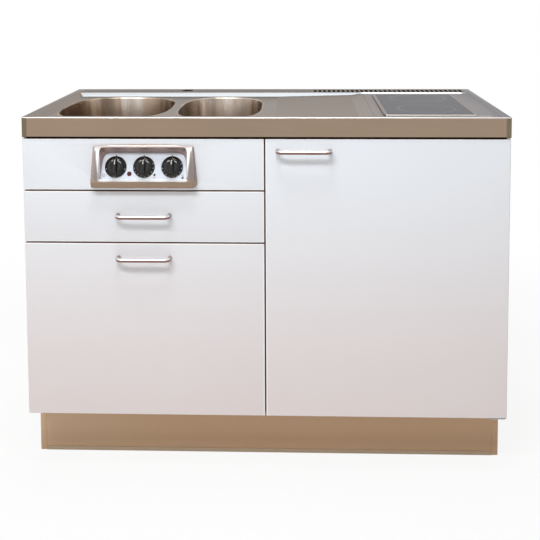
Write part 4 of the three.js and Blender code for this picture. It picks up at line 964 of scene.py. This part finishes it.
# a dial knob: stepped skirt, domed hub with a dished face, and a grip bar with a slanting upper end
def makeKnob(node, across, look):
    skirt, hub, shoulder, top = look["skirt"], look["hub"], look["shoulder"], look["barTop"]
    body = turnPiece([(skirt - 0.0007, 0.0006), (skirt, 0.0012), (skirt, 0.0022), (skirt - 0.0005, 0.0028),
                      (hub + 0.0016, 0.0036), (hub + 0.0006, 0.0042), (hub, 0.0054), (hub - 0.0002, 0.0086),
                      (hub - 0.0006, 0.0093), (hub - 0.0012, 0.0097), (hub - 0.0042, 0.0105),
                      (hub - 0.0072, shoulder), (hub - 0.0080, shoulder),
                      (0.008, shoulder - look["dip"]), (0.003, shoulder - look["dip"])], 64)
    bar = startBlock((-look["bar"], -look["barReach"], 0.0086), (look["bar"], look["barReach"], top))
    select(bar, "verts", lambda vertex: vertex.co.z > top - 0.0005 and vertex.co.y > 0.0)
    bpy.ops.transform.translate(value=(0.0, -look["slant"], 0.0))
    select(bar, "verts", lambda vertex: vertex.co.z > top - 0.0005 and vertex.co.y < 0.0)
    bpy.ops.transform.translate(value=(0.0, 0.4 * look["slant"], 0.0))
    select(bar, "edges", lambda edge: abs(edge.verts[0].co.z - edge.verts[1].co.z) > 0.004)
    bpy.ops.mesh.bevel(offset=0.0030, segments=4, affect="EDGES")
    select(bar, "faces", lambda face: face.normal.z > 0.9)
    bpy.ops.transform.resize(value=(0.74, 1.0, 1.0), center_override=(0.0, 0.0, top))
    leaveEdit()
    roundEdges(bar, 0.0008, 3, 35.0)
    knob = joinPieces(body, bar)
    ontoPlate(knob, across)
    return settle(knob, node + "_turned", bodyOf[node], "knob_black", [node], angle=40.0)


markLook = {"radius": 0.0238, "lift": 0.00305, "long": 0.0013, "wide": 0.0008, "thick": 0.0003, "lean": 9.0,
            "timerPale": (104, 256), "timerGold": (0, 182), "zonePale": (72, 98, 124, 217, 261),
            "zoneGold": (0, 148, 172, 195, 239)}


# short printed strokes a hair proud of a knob's skirt, at clock angles in degrees, and the grip's pointer,
# whose pale wedge on the bar's slanted end is part print and part painted highlight
def makeMarks(node, across, angles, skin, pointer, look):
    parts = []
    for angle in angles:
        mark = startBlock((-look["wide"], -look["long"], 0.0), (look["wide"], look["long"], look["thick"]))
        select(mark, "faces", lambda face: face.normal.z > 0.9)
        bpy.ops.transform.resize(value=(0.7, 0.85, 1.0), center_override=(0.0, 0.0, look["thick"]))
        leaveEdit()
        turn = Matrix.Rotation(-math.radians(angle), 4, "Z")
        lean = Matrix.Rotation(-math.radians(look["lean"]), 4, "X")
        mark.matrix_world = turn @ Matrix.Translation((0.0, look["radius"], look["lift"])) @ lean
        parts.append(mark)
    if pointer:
        top = knobLook["barTop"]
        line = startBlock((-0.0009, 0.0040, top - 0.0002), (0.0009, 0.0112, top + 0.00022))
        # pale wedge on the bar's slanted end: part pointer print, part painted highlight
        slope = startBlock((-0.0022, -0.0001, -0.0003), (0.0022, 0.0062, 0.0003))
        select(slope, "verts", lambda vertex: vertex.co.y < 0.001)
        bpy.ops.transform.resize(value=(0.42, 1.0, 1.0), center_override=(0.0, 0.0, 0.0))
        leaveEdit()
        fall = math.atan2(top - 0.0086, knobLook["slant"])
        slope.matrix_world = Matrix.Translation((0.0, 0.0122, top - 0.0004)) @ Matrix.Rotation(-fall, 4, "X")
        parts += [line, slope]
    for part in parts:
        pick(part)
        bpy.ops.object.transform_apply(location=True, rotation=True, scale=True)
    marks = joinPieces(*parts)
    ontoPlate(marks, across)
    return settle(marks, node + "_" + skin, bodyOf[node], "knob_black", angle=30.0, skin=skin)


for node, across in dials.items():
    kind = "timer" if node == "knob_timer" else "zone"
    makeKnob(node, across, knobLook)
    makeMarks(node, across, markLook[kind + "Pale"], "markPale", True, markLook)
    makeMarks(node, across, markLook[kind + "Gold"], "markGold", False, markLook)

signLook = {"thick": 0.00022, "clock": (-0.0988, -0.0212), "front": (0.0269, -0.0194, -0.0251),
            "rear": (0.0966, -0.0271, -0.0214)}


# flat printed signs on the plate: a ring for the timer, two dots for each zone, and an index over each dial
def makeSigns(look):
    thick = look["thick"]

    def dot(radius, x, y, hole=0.0):
        profile = [(radius, -0.0001), (radius, thick * 0.7), (radius - 0.0001, thick)]
        if hole:
            profile += [(hole + 0.0001, thick), (hole, thick * 0.7), (hole, -0.0001)]
        else:
            profile += [(radius * 0.3, thick)]
        disc = turnPiece(profile, 32)
        disc.location = (x, y, 0.0)
        pick(disc)
        bpy.ops.object.transform_apply(location=True)
        return disc

    (frontX, frontDark, frontPale), (rearX, rearDark, rearPale) = look["front"], look["rear"]
    pale = [dot(0.0024, *look["clock"]), dot(0.0024, frontX, frontPale), dot(0.0024, rearX, rearPale)]
    rings = [dot(0.0040, *look["clock"], hole=0.0027), dot(0.0033, frontX, frontPale, hole=0.0025),
             dot(0.0033, rearX, rearPale, hole=0.0025)]
    dark = [dot(0.0028, frontX, frontDark), dot(0.0028, rearX, rearDark)]
    for across in dials.values():
        index = startBlock((across - 0.0017, 0.0268, -0.0001), (across + 0.0017, 0.0298, thick))
        select(index, "verts", lambda vertex: vertex.co.y > 0.029)
        bpy.ops.transform.resize(value=(0.25, 1.0, 1.0), center_override=(across, 0.0, 0.0))
        leaveEdit()
        dark.append(index)
    for name, skin, parts in (("sign_pale", "markPale", pale), ("sign_rings", "markGrey", rings),
                              ("sign_dark", "markDark", dark)):
        sign = joinPieces(*parts)
        ontoPlate(sign)
        settle(sign, name, "cabinet", "dial_white", angle=30.0, skin=skin)


makeSigns(signLook)

lampSpot = {"across": -0.0355, "down": -0.017, "radius": 0.0055}


# a ribbed dome in a rim, its stem through the plate
def makeLampLens(look):
    radius = look["radius"]
    lens = turnPiece([(radius - 0.0014, -0.012), (radius - 0.0013, 0.0001), (radius - 0.0002, 0.0002),
                      (radius, 0.0005), (radius, 0.0011), (radius - 0.0002, 0.0015),
                      (radius - 0.0009, 0.0016), (radius - 0.0011, 0.0013), (radius - 0.0013, 0.0015),
                      (radius * 0.62, 0.0028),
                      (radius * 0.35, 0.0034), (radius * 0.12, 0.0036)], 40)
    lens.location = (look["across"], look["down"], 0.0)
    pick(lens)
    bpy.ops.object.transform_apply(location=True)
    ontoPlate(lens)
    return settle(lens, "pilot_lamp_lens", "cabinet", "lamp_red", ["pilot_lamp"], angle=50.0)


makeLampLens(lampSpot)

bezel = lift("control_bezel")
roundEdges(bezel, 0.0011, 3, 30.0)
settle(bezel, "control_bezel_pressed", "cabinet", "satin_steel", ["control_bezel"], angle=45.0, skin="bezel")
print("bezel, knobs, marks and lamp")

handleLook = {"span": 0.128, "rod": 0.005, "bar": rowShift - 0.024, "foot": rowShift + 0.0028, "bend": 0.013}
handles = {"drawer_handle": (-0.300, 0.656), "pullout_handle": (-0.300, 0.549),
           "fridge_handle": (0.096, 0.8175)}


# a round tube along a list of points: a circle extruded once per point, each ring then set across the path
def sweepTube(points, radius, sides=24):
    points = [Vector(point) for point in points]
    bpy.ops.object.select_all(action="DESELECT")
    bpy.ops.mesh.primitive_circle_add(vertices=sides, radius=1.0, fill_type="NGON", location=(0.0, 0.0, 0.0))
    tube = bpy.context.object
    editAll(tube)
    for _ in points[1:]:
        extrudeUp(2.0)
    leaveEdit()
    frames = []
    before = (points[1] - points[0]).normalized()
    side = before.orthogonal().normalized()
    for number, point in enumerate(points):
        after = points[min(number + 1, len(points) - 1)] - points[max(number - 1, 0)]
        after.normalize()
        side = before.rotation_difference(after) @ side
        before = after
        frames.append((point, side.copy(), after.cross(side)))
    for vertex in tube.data.vertices:
        point, side, up = frames[round(vertex.co.z / 2.0)]
        turn = math.atan2(vertex.co.y, vertex.co.x)
        vertex.co = point + radius * (math.cos(turn) * side + math.sin(turn) * up)
    faceOut(tube)
    return tube


# points of a path whose corners are arcs of one radius
def roundedPath(corners, radius, steps=8):
    corners = [Vector(corner) for corner in corners]
    path = [corners[0]]
    for before, corner, after in zip(corners, corners[1:], corners[2:]):
        into, out = (before - corner).normalized(), (after - corner).normalized()
        half = into.angle(out) / 2.0
        reach = radius / math.tan(half)
        centre = corner + (into + out).normalized() * (radius / math.sin(half))
        start, end = corner + into * reach - centre, corner + out * reach - centre
        turn = start.rotation_difference(end)
        path += [centre + Quaternion().slerp(turn, step / steps) @ start for step in range(steps + 1)]
    return path + [corners[-1]]


# a bow handle: one bent rod
def makeHandle(node, centreX, height, look):
    half = look["span"] / 2.0
    corners = [(centreX - half, look["foot"], height), (centreX - half, look["bar"], height),
               (centreX + half, look["bar"], height), (centreX + half, look["foot"], height)]
    rod = sweepTube(roundedPath(corners, look["bend"], 10), look["rod"], 32)
    return settle(rod, node + "_bent", bodyOf[node], "satin_steel", [node], angle=40.0, skin="handle")


for node, (centreX, height) in handles.items():
    makeHandle(node, centreX, height, handleLook)

shadeSealLook = {"reach": 0.588, "front": rowShift + 0.0016, "back": rowShift + 0.0200, "low": 0.8469,
            "top": 0.84996}


# black lip seal below the steel apron, over the fronts, made near black so that it also stands in for the
# shade in the gap there
def makeShadeSeal(look):
    reach, front, low = look["reach"], look["front"], look["low"]
    seal = startBlock((-reach, front, low), (reach, look["back"], look["top"]))
    select(seal, "edges", lambda edge: all(v.co.z < low + 0.0002 and v.co.y < front + 0.0002
                                           for v in edge.verts))
    bpy.ops.mesh.bevel(offset=0.0008, segments=3, affect="EDGES")
    leaveEdit()
    return settle(seal, "apron_shade_seal", "cabinet", "black_enamel", angle=40.0, skin="shadeSealBlack")


makeShadeSeal(shadeSealLook)
print("handles and lip seal")
